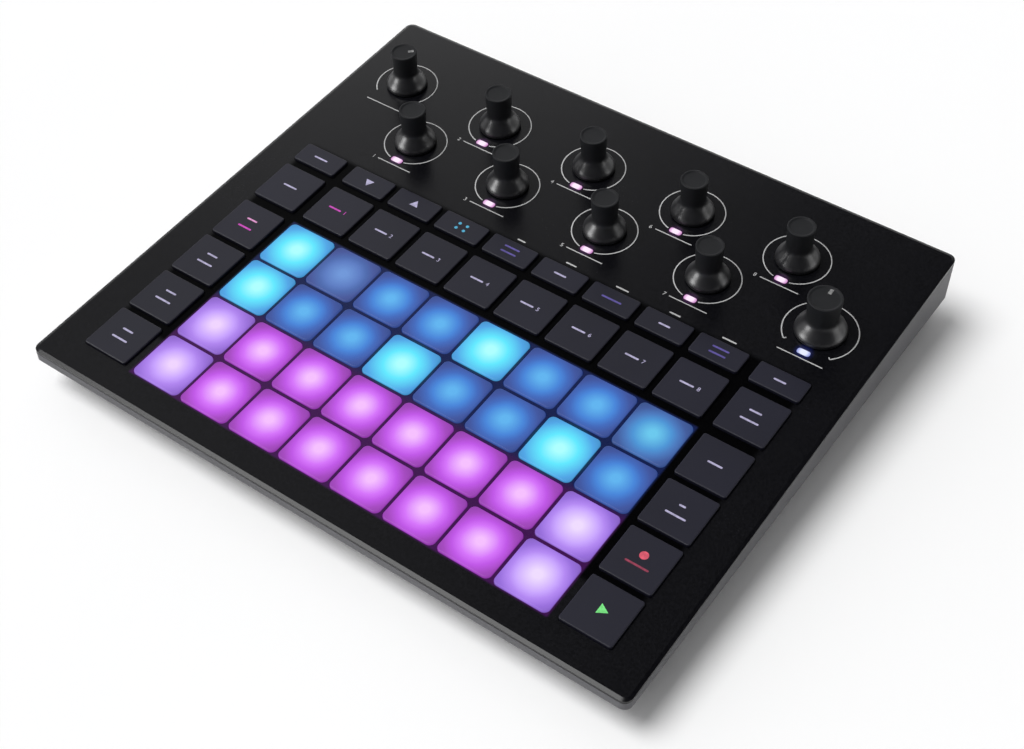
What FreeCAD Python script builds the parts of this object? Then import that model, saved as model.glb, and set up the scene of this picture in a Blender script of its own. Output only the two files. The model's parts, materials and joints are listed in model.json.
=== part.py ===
import FreeCAD, Part
import math
import os

import Sketcher
from FreeCAD import Vector

# A table-top groovebox: a wedge-shaped case with a tilted panel, a field of lit pads inside a
# frame of push buttons, ten knobs behind them, and the sockets in the rear wall.
#
# Frame: +X to the player's right, +Y to the rear, +Z up, origin on the table under the middle.
# The deck is the tilted top face. It has its own axes: X to the right, Y up the slope to the
# rear, Z square to the face, with its origin in the middle of the face.

PAD_COLUMNS = 8
PAD_ROWS = 4

SIZES = {
    # Case, in plan and in side view
    "CaseWidth": (240.0, "left side to right side"),
    "CaseDepth": (209.6, "front edge to rear edge, in plan"),
    "CaseCorner": (3.0, "radius of the upright corners"),
    "FootHeight": (2.5, "table to underside"),
    "UndercutHeight": (10.0, "underside up to the belt where the walls turn upright"),
    "UndercutInset": (9.0, "reach of the undercut at the front and sides"),
    "BaseRound": (1.2, "rounding of the underside's edge"),
    "FrontInside": (2.0, "belt up to the panel's underside at the front edge"),
    "Tilt": (3.65, "slope of the panel in degrees, rear side high"),
    "WallThickness": (2.5, "wall of the lower case"),
    "FloorThickness": (2.2, "floor of the lower case"),
    # Panel
    "PanelEdge": (1.5, "height of the panel's own edge, above the seam"),
    "PanelThickness": (2.5, "thickness of the panel inside the walls"),
    "BevelAcross": (1.2, "bevel round the panel's top, across"),
    "BevelDown": (0.45, "bevel round the panel's top, down"),
    "LipGap": (0.3, "panel's locating lip to the wall"),
    "LipThickness": (1.2, "wall of the locating lip"),
    "LipDrop": (1.0, "locating lip below the panel's core"),
    "HookWidth": (12.0, "hooks on the lip that hold the panel's front down"),
    "HookHeight": (1.4, "hooks on the lip, up from its bottom"),
    "HookReach": (1.1, "hooks beyond the lip"),
    "HookGap": (0.25, "hooks to their pockets in the front wall"),
    "HookPitch": (60.0, "from one hook to the next"),
    # Layout of the keys on the deck
    "ColumnPitch": (21.2, "from one pad column to the next"),
    "RowPitch": (21.3, "from one pad row to the next"),
    "FirstPadRow": (-19.8, "rearmost pad row"),
    "SideStep": (22.9, "last pad column to the button column beside it"),
    "WideGap": (1.8, "square buttons' row behind the next pad row's place"),
    "SlimGap": (3.7, "between the square and the slim buttons"),
    # Keys
    "PadRib": (1.4, "panel between two pads, side to side"),
    "PadRowRib": (1.5, "panel between two pads, front to rear"),
    "PadCorner": (2.0, "corner radius of a pad"),
    "PadProud": (0.5, "pad above the panel"),
    "PadRound": (0.45, "rounding of a pad's top edge"),
    "ButtonRib": (2.5, "panel between two buttons, side to side"),
    "ButtonRowRib": (2.6, "panel between two buttons, front to rear"),
    "SlimSize": (9.3, "depth of a slim button"),
    "ButtonCorner": (0.9, "corner radius of a button"),
    "ButtonProud": (1.0, "button above the panel"),
    "ButtonRound": (0.35, "rounding of a button's top edge"),
    "KeyGap": (0.25, "key to its window, each side"),
    "KeyTravel": (1.2, "stroke of a pad or button"),
    "FlangeReach": (0.5, "retaining flange beyond the key's side"),
    "FlangeGap": (0.1, "flange to the panel's underside"),
    "FlangeThickness": (1.0, "retaining flange"),
    "PlungerSize": (8.0, "side of the plunger under a key"),
    "PlungerDrop": (1.0, "plunger below the flange"),
    "PlungerCorner": (1.0, "corner radius of a plunger"),
    "PlungerInset": (1.0, "plunger inside the sides of a slim button"),
    # Knobs on the deck
    "FrontKnobStep": (27.5, "slim buttons to the front knob row"),
    "KnobRowStep": (24.8, "front to rear knob row"),
    "KnobShift": (0.4, "macro knobs to the right of the pad columns"),
    "KnobHeight": (16.0, "panel to the top of a knob"),
    "TopReach": (0.4, "knob's top beyond its neck"),
    "NeckWall": (1.6, "knob's neck beyond its shaft"),
    "SkirtReach": (3.3, "knob's skirt beyond its neck"),
    "FilterTopReach": (0.6, "large knob's top beyond its neck"),
    "FilterNeckWall": (2.4, "large knob's neck beyond its shaft"),
    "FilterSkirtReach": (3.6, "large knob's skirt beyond its neck"),
    "FlareHeight": (7.5, "panel to where the skirt's flare meets the neck"),
    "SkirtGap": (0.4, "skirt above the panel"),
    "SkirtLip": (1.1, "upright lip round the skirt"),
    "SkirtWall": (1.5, "wall of the skirt"),
    "HollowGap": (0.9, "bushing's end to the roof of the skirt's hollow"),
    "DishRim": (0.7, "flat rim round a knob's top"),
    "DishDepth": (0.35, "dish in a knob's top"),
    "KnobRound": (0.5, "rounding of a knob's top edge"),
    "KnobCrown": (4.0, "knob's top to the end of its bore"),
    "PointerWidth": (0.8, "groove that marks a limited knob"),
    "PointerLength": (1.9, "length of that groove"),
    "PointerDepth": (0.6, "groove below the knob's top"),
    "VolumeTurn": (-43.5, "volume pointer at rest, in degrees from the rear"),
    # Rotary parts under the knobs
    "ShaftRadius": (3.0, "knob shaft"),
    "ShaftGap": (0.05, "shaft to its bushing"),
    "ShaftEndGap": (0.5, "shaft's end to the floor of its bore"),
    "BushingWall": (0.5, "threaded bushing beyond the shaft"),
    "BushingProud": (2.0, "bushing above the panel"),
    "BushingGap": (0.3, "bushing to its hole in the panel"),
    "NutWall": (1.9, "nut's corners beyond the bushing"),
    "NutHeight": (1.5, "nut"),
    "RotaryWidth": (12.0, "side of a rotary part's body"),
    "RotaryHeight": (6.0, "height of a rotary part's body"),
    "RotaryGap": (0.2, "rotary part's body to the panel's underside"),
    "BoreFloor": (1.0, "rotary part's base under its bore"),
    # Light windows in front of the knobs
    "LightLength": (4.6, "light window, left to right"),
    "LightWidth": (2.2, "light window, front to rear"),
    "LightCorner": (0.88, "radius of a light window's slot at its corners"),
    "LightOffset": (11.5, "knob's axis to its light window"),
    "LightProud": (0.1, "light window above the panel"),
    "LightFlange": (0.6, "light window's flange beyond its slot"),
    "LightGap": (0.08, "light window to its slot"),
    # Boards
    "BoardThickness": (1.6, "circuit boards"),
    "BoardSideInset": (12.5, "control board inside the case's sides"),
    "BoardFrontInset": (9.3, "control board behind the case's front"),
    "BoardRearInset": (23.3, "control board before the case's rear"),
    "BoardPostWall": (1.3, "posts and standoffs for the boards, beyond their screws"),
    "BoardPostGap": (0.3, "case post to the board above it"),
    "FrontPostRow": (-84.0, "front row of posts under the control board, in plan"),
    "MiddlePostRow": (-52.0, "next row of those posts"),
    "MatThickness": (1.0, "key mat's sheet"),
    "MatMargin": (2.0, "key mat inside the control board's edges"),
    "MatReach": (6.5, "key mat behind the middle of the slim buttons"),
    "DomeBase": (4.4, "radius of a dome's foot on the key mat"),
    "DomeTop": (3.2, "radius of a dome's top"),
    "DomeGap": (0.2, "plunger to its dome at full stroke"),
    "MainBoardInset": (12.0, "main board inside the case's sides"),
    "MainBoardFront": (38.0, "main board's front edge, in plan"),
    "MainBoardLift": (2.0, "main board above the floor"),
    "MainBoardGap": (1.0, "main board to the rear wall"),
    # Screws
    "ScrewRadius": (1.45, "case screw's shank"),
    "ScrewLength": (6.0, "case screw's shank"),
    "HeadReach": (1.25, "case screw's head beyond its shank"),
    "HeadHeight": (1.7, "case screw's head"),
    "DriveRadius": (1.2, "socket in a screw's head"),
    "DriveFloor": (0.6, "head above that socket"),
    "ScrewGap": (0.05, "shank to its bore"),
    "RecessGap": (0.5, "recess round a screw's head"),
    "SeatHeight": (8.0, "table to the seat of the screw heads"),
    "PostBridge": (2.0, "case post above that seat"),
    "PostWall": (1.3, "case post round that recess"),
    "BossWall": (1.55, "panel boss round a screw's shank"),
    "BossGap": (0.6, "hole in a board round a boss"),
    "RearScrewRow": (60.0, "case screws behind the keys"),
    "RearScrewGap": (1.4, "outer pair of that row beside the macro knobs' rotary parts"),
    "SideScrewInset": (13.2, "side screws inside the case's sides"),
    "SideScrewRow": (34.0, "row of the side screws"),
    "SmallRadius": (1.2, "board screw's shank"),
    "SmallHeadReach": (1.0, "board screw's head beyond its shank"),
    "SmallHeight": (1.3, "board screw's head, height"),
    "SmallLength": (4.5, "board screw's shank"),
    "StandoffRow": (62.0, "control board's standoffs"),
    "MainScrewRow": (46.0, "main board's standoffs"),
    "MainScrewInner": (35.0, "inner pair of that row"),
    "MainScrewInset": (20.0, "outer pair of that row inside the case's sides"),
    # Feet
    "FootRadius": (8.0, "rubber foot"),
    "FootSink": (0.6, "foot let into the underside"),
    "FootBevel": (0.6, "bevel round a foot's sole"),
    "FootSideInset": (28.0, "foot's middle inside the case's side"),
    "FootEndInset": (26.8, "foot's middle inside the case's front or rear"),
    # Battery
    "BatteryWidth": (104.0, "battery, left to right"),
    "BatteryDepth": (56.0, "battery, front to rear"),
    "BatteryHeight": (6.0, "battery"),
    "BatteryRow": (3.0, "middle of the battery, in plan"),
    "BatteryRound": (1.5, "rounding of the battery's upright corners"),
    "RibGap": (0.3, "battery to the ribs round it"),
    "RibThickness": (1.5, "ribs round the battery"),
    "RibHeight": (3.5, "ribs round the battery"),
    # Sockets in the rear wall, each placed by its axis
    "SocketGap": (0.2, "socket's nose to its hole in the wall"),
    "SocketSetback": (0.3, "sockets' bodies behind the rear wall"),
    "MidiFirst": (45.0, "first round socket from the middle"),
    "MidiSpace": (3.9, "between two round sockets"),
    "MidiFrame": (1.4, "round socket's body beyond its nose, each side"),
    "MidiHeight": (18.0, "round socket's body"),
    "MidiDepth": (13.5, "round socket's body"),
    "MidiNoseWall": (0.8, "round socket's nose beyond its bore"),
    "MidiBore": (7.1, "radius of a round socket's bore, for the plug's collar"),
    "MidiGroove": (1.2, "bore's wall to the insert inside it"),
    "MidiBoreDepth": (8.5, "depth of that bore"),
    "MidiPinCircle": (3.75, "radius of the circle of pin holes"),
    "MidiPinRadius": (0.8, "pin hole"),
    "MidiPinDepth": (7.5, "pin hole"),
    "MidiPinStep": (45.0, "from one pin hole to the next, in degrees"),
    "JackFirst": (-37.0, "first large jack from the middle"),
    "JackSpace": (1.6, "between two large jacks"),
    "JackWidth": (15.4, "large jack's body"),
    "JackHeight": (12.4, "large jack's body"),
    "JackDepth": (19.0, "large jack's body"),
    "JackNoseWall": (1.95, "its nose beyond its bore"),
    "JackBore": (3.25, "radius of its bore"),
    "JackReach": (16.0, "depth of its bore"),
    "JackTail": (7.5, "contacts behind the body, depth and height"),
    "JackTailWidth": (12.4, "those contacts, left to right"),
    "MiniSync": (-20.5, "small jack beside the round sockets"),
    "MiniPhones": (-104.5, "small jack at the far end"),
    "MiniWidth": (7.0, "small jack's body"),
    "MiniHeight": (7.0, "small jack's body"),
    "MiniDepth": (13.0, "small jack's body"),
    "MiniNoseWall": (1.1, "its nose beyond its bore"),
    "MiniBore": (1.8, "radius of its bore"),
    "MiniReach": (11.0, "depth of its bore"),
    "UsbPlace": (84.0, "data socket from the middle"),
    "UsbWidth": (8.94, "data socket's shell"),
    "UsbHeight": (3.26, "data socket's shell"),
    "UsbDepth": (9.0, "data socket's shell"),
    "UsbWall": (0.3, "wall of that shell"),
    "UsbBack": (2.0, "its closed back"),
    "UsbTongue": (0.7, "thickness of its tongue"),
    "UsbTongueWidth": (6.4, "width of its tongue"),
    "UsbTongueSetback": (2.0, "tongue's tip behind the mouth"),
    "CardPlace": (67.0, "card socket from the middle"),
    "CardWidth": (14.0, "card socket's body"),
    "CardHeight": (2.2, "card socket's body"),
    "CardDepth": (15.0, "card socket's body"),
    "CardWall": (1.3, "card socket's walls beside its slot"),
    "CardLid": (0.6, "card socket above and below its slot"),
    "CardEnd": (2.0, "card socket behind its slot"),
    "CardGap": (0.5, "wall's slot beyond the card's slot"),
    "PowerPlace": (99.0, "power button from the middle"),
    "PowerLift": (4.2, "power button's axis above the main board"),
    "PowerWidth": (7.4, "power button's cap"),
    "PowerHeight": (3.8, "power button's cap"),
    "PowerInset": (0.2, "cap behind the wall's face"),
    "PowerFlange": (1.0, "its flange beyond the cap"),
    "PowerTravel": (1.5, "stroke of the power button"),
    "PowerStem": (1.4, "radius of its stem"),
    "PowerStemLength": (5.0, "stem behind the flange"),
    "SwitchWidth": (12.0, "power switch's body"),
    "SwitchHeight": (7.5, "power switch's body"),
    "SwitchDepth": (9.0, "power switch's body"),
    "LockPlace": (112.0, "security slot from the middle"),
    "LockWidth": (3.0, "security slot"),
    "LockHeight": (7.0, "security slot"),
    "LockLift": (8.5, "security slot above the main board"),
    # Header between the two boards
    "HeaderWidth": (32.0, "header, left to right"),
    "HeaderDepth": (5.0, "header, front to rear"),
    "HeaderRow": (52.0, "header's middle, in plan"),
    "HeaderGap": (0.3, "header to the control board"),
    "ChipHeight": (1.4, "chips on the main board"),
    "ChipRow": (54.0, "chips' middle, in plan"),
    "ChipStep": (19.0, "from one chip to the next, and to the post beside them"),
    "LargeChipStep": (27.0, "large chip to the post beside it"),
}

# Worked out from the sizes above, for use in the expressions below
DERIVED = {
    "Belt": "Sizes.FootHeight + Sizes.UndercutHeight",
    "FrontTop": "Derived.Belt + Sizes.FrontInside + Sizes.PanelThickness",
    "DeckHeight": "Derived.FrontTop + Sizes.CaseDepth / 2 * tan(Sizes.Tilt)",
    "DeckDepth": "Sizes.CaseDepth / cos(Sizes.Tilt)",
    "EdgeLean": "Sizes.PanelEdge * tan(Sizes.Tilt)",
    "RearFace": "Sizes.CaseDepth / 2",
    "WallInside": "Sizes.CaseDepth / 2 - Sizes.WallThickness",
    "FloorTop": "Sizes.FootHeight + Sizes.FloorThickness",
    "PostTop": "Sizes.SeatHeight + Sizes.PostBridge",
    "FlangeTop": "-Sizes.PanelThickness - Sizes.FlangeGap",
    "FlangeBottom": "Derived.FlangeTop - Sizes.FlangeThickness",
    "PlungerBottom": "Derived.FlangeBottom - Sizes.PlungerDrop",
    "DomeTop": "Derived.PlungerBottom - Sizes.KeyTravel - Sizes.DomeGap",
    "BoardTop": "-Sizes.PanelThickness - Sizes.RotaryGap - Sizes.RotaryHeight",
    "BoardBottom": "Derived.BoardTop - Sizes.BoardThickness",
    "MainBottom": "Derived.FloorTop + Sizes.MainBoardLift",
    "MainTop": "Derived.MainBottom + Sizes.BoardThickness",
    "MainRear": "Derived.WallInside - Sizes.MainBoardGap",
    "LipInset": "Sizes.WallThickness + Sizes.LipGap",
    "LipDepth": "Sizes.PanelThickness + Sizes.LipDrop",
    # Keys on the deck
    "PadWidth": "Sizes.ColumnPitch - Sizes.PadRib",
    "PadDepth": "Sizes.RowPitch - Sizes.PadRowRib",
    "ButtonWidth": "Sizes.ColumnPitch - Sizes.ButtonRib",
    "ButtonDepth": "Sizes.RowPitch - Sizes.ButtonRowRib",
    "LastColumn": f"{(PAD_COLUMNS - 1) / 2} * Sizes.ColumnPitch",
    "SideColumn": "Derived.LastColumn + Sizes.SideStep",
    "WideRow": "Sizes.FirstPadRow + Sizes.RowPitch + Sizes.WideGap",
    "SlimRow": "Derived.WideRow + Derived.ButtonDepth / 2 + Sizes.SlimGap + Sizes.SlimSize / 2",
    "MatRear": "Derived.SlimRow + Sizes.MatReach",
    # Knobs and the rotary parts under them
    "FrontKnobRow": "Derived.SlimRow + Sizes.FrontKnobStep",
    "RearKnobRow": "Derived.FrontKnobRow + Sizes.KnobRowStep",
    "KnobNeck": "Sizes.ShaftRadius + Sizes.NeckWall",
    "KnobTop": "Derived.KnobNeck + Sizes.TopReach",
    "KnobSkirt": "Derived.KnobNeck + Sizes.SkirtReach",
    "FilterNeck": "Sizes.ShaftRadius + Sizes.FilterNeckWall",
    "FilterTop": "Derived.FilterNeck + Sizes.FilterTopReach",
    "FilterSkirt": "Derived.FilterNeck + Sizes.FilterSkirtReach",
    "HollowTop": "Sizes.BushingProud + Sizes.HollowGap",
    "BoreTop": "Sizes.KnobHeight - Sizes.KnobCrown",
    "BushingRadius": "Sizes.ShaftRadius + Sizes.BushingWall",
    "BushingHole": "Derived.BushingRadius + Sizes.BushingGap",
    "NutRadius": "Derived.BushingRadius + Sizes.NutWall",
    # Boards, screws and feet
    "BoardWidth": "Sizes.CaseWidth - 2 * Sizes.BoardSideInset",
    "BoardFront": "Sizes.BoardFrontInset - Sizes.CaseDepth / 2",
    "BoardRear": "Sizes.CaseDepth / 2 - Sizes.BoardRearInset",
    "MainBoardWidth": "Sizes.CaseWidth - 2 * Sizes.MainBoardInset",
    "BoardPostRadius": "Sizes.SmallRadius + Sizes.BoardPostWall",
    "SmallHead": "Sizes.SmallRadius + Sizes.SmallHeadReach",
    "HeadRadius": "Sizes.ScrewRadius + Sizes.HeadReach",
    "RecessRadius": "Derived.HeadRadius + Sizes.RecessGap",
    "PostRadius": "Derived.RecessRadius + Sizes.PostWall",
    "BossRadius": "Sizes.ScrewRadius + Sizes.BossWall",
    "RearScrewOuter": "Derived.LastColumn + Sizes.KnobShift + Sizes.RotaryWidth / 2"
                      " + Derived.BossRadius + Sizes.RearScrewGap",
    "SideScrewPlace": "Sizes.CaseWidth / 2 - Sizes.SideScrewInset",
    "MainScrewOuter": "Sizes.CaseWidth / 2 - Sizes.MainScrewInset",
    "FootSide": "Sizes.CaseWidth / 2 - Sizes.FootSideInset",
    "FootRow": "Sizes.CaseDepth / 2 - Sizes.FootEndInset",
    # Sockets
    "MidiNose": "Sizes.MidiBore + Sizes.MidiNoseWall",
    "MidiWidth": "2 * (Derived.MidiNose + Sizes.MidiFrame)",
    "MidiPitch": "Derived.MidiWidth + Sizes.MidiSpace",
    "JackNose": "Sizes.JackBore + Sizes.JackNoseWall",
    "JackPitch": "Sizes.JackWidth + Sizes.JackSpace",
    "MiniNose": "Sizes.MiniBore + Sizes.MiniNoseWall",
    "CardMouthWidth": "Sizes.CardWidth - 2 * Sizes.CardWall",
    "CardMouthHeight": "Sizes.CardHeight - 2 * Sizes.CardLid",
    "CardMouthDepth": "Sizes.CardDepth - Sizes.CardEnd",
}

MIDI_SOCKETS = 3
MIDI_PINS = 5
LARGE_JACKS = 4
HOOKS = 4

# Chips on the main board, placed from the rear case posts: place, width and depth
CHIPS = [
    ("Sizes.LargeChipStep - Derived.RearScrewOuter", "14", "14"),
    ("Derived.RearScrewOuter - 2 * Sizes.ChipStep", "10", "12"),
    ("Derived.RearScrewOuter - Sizes.ChipStep", "12", "8"),
]

DECK = "placement(vector(0; 0; Derived.DeckHeight); rotation(vector(1; 0; 0); Sizes.Tilt))"
TOLERANCE = 1e-4
OVERLAP = "1.0"  # how far a shape that is joined or cut away runs past the other
ROUND_END = "0.49"  # corner radius of a slot with round ends, as a share of its height

doc = FreeCAD.newDocument("Groovebox")


def make_sheet():
    """The driving sizes, one per row: name, plain number with the name as its alias, meaning."""
    sheet = doc.addObject("Spreadsheet::Sheet", "Sizes")
    for row, (name, (number, meaning)) in enumerate(SIZES.items(), start=1):
        sheet.set(f"A{row}", name)
        sheet.set(f"B{row}", str(number))
        sheet.set(f"C{row}", meaning)
        sheet.setAlias(f"B{row}", name)
    doc.recompute()
    derived = doc.addObject("App::VarSet", "Derived")
    for name, expression in DERIVED.items():
        derived.addProperty("App::PropertyFloat", name)
        derived.setExpression(name, expression)
        doc.recompute()
    return sheet


sheet = make_sheet()


# Expressions and places

def number(expression):
    """The present value of an expression, as a plain number."""
    return float(sheet.evalExpression(expression))


def at(x="0", y="0", z="0", turn="0", axis="0; 0; 1"):
    """A placement expression: a turn in degrees about an axis, then a move."""
    return f"placement(vector({x}; {y}; {z}); rotation(vector({axis}); {turn}))"


def on_deck(x="0", y="0", z="0", turn="0"):
    """The same in the deck's own axes."""
    return f"{DECK} * {at(x, y, z, turn)}"


def to_rear(x, y, z):
    """A placement whose Z axis points to the rear, for what lies along the rear wall's bores."""
    return at(x, y, z, turn="-90", axis="1; 0; 0")


def deck_level(y, drop):
    """Height above the table of the deck's face, less a drop square to it, at a place in plan."""
    return f"(Derived.DeckHeight + ({y}) * tan(Sizes.Tilt) - ({drop}) / cos(Sizes.Tilt))"


# Document objects

def make(kind, name, **bindings):
    """An object whose properties are bound to expressions."""
    thing = doc.addObject(kind, name)
    for key, expression in bindings.items():
        thing.setExpression(key, expression)
    return thing


def box(name, width, depth, height, place="", x="0", y="0", z="0"):
    """A box centred on x and y that stands on z, in the plan's axes or those of place."""
    corner = at(f"({x}) - ({width}) / 2", f"({y}) - ({depth}) / 2", z)
    place = f"{place} * {corner}" if place else corner
    return make("Part::Box", name, Length=width, Width=depth, Height=height, Placement=place)


def cylinder(name, radius, height, place):
    return make("Part::Cylinder", name, Radius=radius, Height=height, Placement=place)


def fuse(name, shapes):
    joined = doc.addObject("Part::MultiFuse", name)
    joined.Shapes = shapes
    return joined


def cut(name, base, tools):
    """base less every tool."""
    tool = tools[0] if len(tools) == 1 else fuse(name + "_tools", tools)
    result = doc.addObject("Part::Cut", name)
    result.Base = base
    result.Tool = tool
    return result


def group(name, shapes):
    """Separate solids kept as one sub-part."""
    together = doc.addObject("Part::Compound", name)
    together.Links = shapes
    return together


def body(name, place=""):
    made = doc.addObject("PartDesign::Body", name)
    if place:
        made.setExpression("Placement", place)
    return made


def origin_feature(owner, role):
    return next(f for f in owner.Origin.OriginFeatures if f.Role == role)


def sketch_on(owner, name, role="XY_Plane", x="0", y="0", z="0"):
    """An empty sketch on one of the body's own planes, moved in that plane and off it."""
    sketch = owner.newObject("Sketcher::SketchObject", name)
    sketch.AttachmentSupport = [(origin_feature(owner, role), "")]
    sketch.MapMode = "FlatFace"
    for axis, expression in (("x", x), ("y", y), ("z", z)):
        if expression != "0":
            sketch.setExpression(f"AttachmentOffset.Base.{axis}", expression)
    return sketch


def measure(sketch, kind, name, expression, *where):
    """A named dimension bound to an expression."""
    index = sketch.addConstraint(Sketcher.Constraint(kind, *where, number(expression)))
    sketch.renameConstraint(index, name)
    sketch.setExpression(f"Constraints.{name}", expression)


def add_rectangle(sketch, width, height, corner, tag=""):
    """A rectangle with round corners, centred on the sketch's origin."""
    half_w, half_h, r = number(width) / 2, number(height) / 2, number(corner)
    first = sketch.GeometryCount
    for side_x, side_y, start in ((1, 1, 0), (-1, 1, 90), (-1, -1, 180), (1, -1, 270)):
        centre = Vector(side_x * (half_w - r), side_y * (half_h - r), 0)
        circle = Part.Circle(centre, Vector(0, 0, 1), r)
        sketch.addGeometry(Part.ArcOfCircle(circle, math.radians(start), math.radians(start + 90)))
    for k in range(4):
        here, there = sketch.Geometry[first + k], sketch.Geometry[first + (k + 1) % 4]
        line = sketch.addGeometry(Part.LineSegment(here.EndPoint, there.StartPoint))
        sketch.addConstraint(Sketcher.Constraint("Tangent", first + k, 2, line, 1))
        sketch.addConstraint(Sketcher.Constraint("Tangent", line, 2, first + (k + 1) % 4, 1))
        level = "Horizontal" if k % 2 == 0 else "Vertical"
        sketch.addConstraint(Sketcher.Constraint(level, line))
        if k:
            sketch.addConstraint(Sketcher.Constraint("Equal", first, first + k))
    top, left, bottom, right = (first + 4 + k for k in range(4))
    measure(sketch, "Radius", f"Corner{tag}", corner, first)
    measure(sketch, "DistanceX", f"Width{tag}", width, left, 1, right, 1)
    measure(sketch, "DistanceY", f"Height{tag}", height, bottom, 1, top, 1)
    measure(sketch, "DistanceX", f"Right{tag}", f"({width}) / 2", -1, 1, right, 1)
    measure(sketch, "DistanceY", f"Top{tag}", f"({height}) / 2", -1, 1, top, 1)


def rectangle(owner, name, width, height, corner, **where):
    sketch = sketch_on(owner, name, **where)
    add_rectangle(sketch, width, height, corner)
    return sketch


def disc(owner, name, radius, **where):
    """A circle centred on the sketch's origin."""
    sketch = sketch_on(owner, name, **where)
    sketch.addGeometry(Part.Circle(Vector(0, 0, 0), Vector(0, 0, 1), number(radius)))
    sketch.addConstraint(Sketcher.Constraint("Coincident", 0, 3, -1, 1))
    measure(sketch, "Radius", "Radius", radius, 0)
    return sketch


def pad(owner, name, sketch, length, down=False, slope=None):
    feature = owner.newObject("PartDesign::Pad", name)
    feature.Profile = sketch
    feature.setExpression("Length", length)
    feature.Reversed = down
    if slope:
        feature.setExpression("TaperAngle", slope)
    doc.recompute()
    return feature


def pocket(owner, name, sketch, depth=None):
    """A pocket from the sketch downwards, right through where no depth is given."""
    before = owner.Shape.Volume
    feature = owner.newObject("PartDesign::Pocket", name)
    feature.Profile = sketch
    if depth:
        feature.setExpression("Length", depth)
    else:
        feature.Type = "ThroughAll"
    doc.recompute()
    assert owner.Shape.Volume < before - TOLERANCE, f"{owner.Label}: {name} cuts nothing"
    return feature


def spread(owner, name, feature, columns, pitch, rows=1, row_pitch=None):
    """Repeats a feature to the right by columns, and towards the front by rows."""
    pattern = owner.newObject("PartDesign::LinearPattern", name)
    pattern.Originals = [feature]
    pattern.Direction = (origin_feature(owner, "X_Axis"), [""])
    pattern.Mode = "Spacing"
    pattern.setExpression("Offset", pitch)
    pattern.Occurrences = columns
    if rows > 1:
        pattern.Direction2 = (origin_feature(owner, "Y_Axis"), [""])
        pattern.Mode2 = "Spacing"
        pattern.Reversed2 = True
        pattern.setExpression("Offset2", row_pitch)
        pattern.Occurrences2 = rows
        pattern.Spacings2 = [-1.0] * (rows - 1)
    owner.Tip = pattern
    doc.recompute()
    return pattern


def edges_where(feature, test):
    """Names of a feature's edges whose every point passes the test."""
    return [
        f"Edge{k}"
        for k, edge in enumerate(feature.Shape.Edges, start=1)
        if not edge.Degenerated and all(test(point) for point in edge.discretize(3))
    ]


def level_edges(feature, level):
    height = number(level)
    return edges_where(feature, lambda point: abs(point.z - height) < TOLERANCE)


def soften(owner, name, feature, edges, radius):
    """Rounds some edges of the body's last feature."""
    fillet = owner.newObject("PartDesign::Fillet", name)
    fillet.Base = (feature, edges)
    fillet.setExpression("Radius", radius)
    owner.Tip = fillet
    doc.recompute()
    return fillet


def bevel(owner, name, feature, edges, across, down):
    """Bevels some edges of the body's last feature."""
    chamfer = owner.newObject("PartDesign::Chamfer", name)
    chamfer.Base = (feature, edges)
    chamfer.ChamferType = "Two distances"
    chamfer.setExpression("Size", across)
    chamfer.setExpression("Size2", down)
    owner.Tip = chamfer
    doc.recompute()
    return chamfer


# Places that more than one sub-part shares

def mirrored(x, y):
    return [(f"-({x})", y), (x, y)]


CASE_SCREWS = (
    mirrored("Derived.RearScrewOuter", "Sizes.RearScrewRow")
    + mirrored("Sizes.ColumnPitch", "Sizes.RearScrewRow")
    + mirrored("Derived.SideScrewPlace", "Sizes.SideScrewRow")
)
STANDOFFS = [(f"({k}) * Sizes.ColumnPitch", "Sizes.StandoffRow") for k in (-3, 0, 2, 5)]
MAIN_SCREWS = mirrored("Derived.MainScrewOuter", "Sizes.MainScrewRow") + mirrored(
    "Sizes.MainScrewInner", "Sizes.MainScrewRow"
)
BOARD_POSTS = [
    (f"({k}) * Sizes.ColumnPitch", row)
    for row in ("Sizes.FrontPostRow", "Sizes.MiddlePostRow")
    for k in (-4, -1.5, 1.5, 4)
]


FIRST_COLUMN = "-Derived.LastColumn"


def macro_x(step):
    return f"({step}) * Sizes.ColumnPitch + Sizes.KnobShift"


# Each knob: label, x, y, and whether it is one of the two that stop at their ends
KNOBS = [("master_volume_knob", "-Derived.SideColumn", "Derived.RearKnobRow", True)]
KNOBS += [
    (f"macro_knob_{2 * k + 2}", macro_x(2 * k - 2.5), "Derived.RearKnobRow", False)
    for k in range(4)
]
KNOBS += [
    (f"macro_knob_{2 * k + 1}", macro_x(2 * k - 3.5), "Derived.FrontKnobRow", False)
    for k in range(4)
]
KNOBS += [("master_filter_knob", "Derived.SideColumn", "Derived.FrontKnobRow", True)]
LIT_KNOBS = [knob for knob in KNOBS if knob[0] != "master_volume_knob"]

# Runs of light windows: the first knob of each run, its place, and how many
LIGHT_RUNS = [
    (KNOBS[1][0], KNOBS[1][1], KNOBS[1][2], 4),
    (KNOBS[5][0], KNOBS[5][1], KNOBS[5][2], 4),
    (KNOBS[9][0], KNOBS[9][1], KNOBS[9][2], 1),
]


# Case

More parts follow.
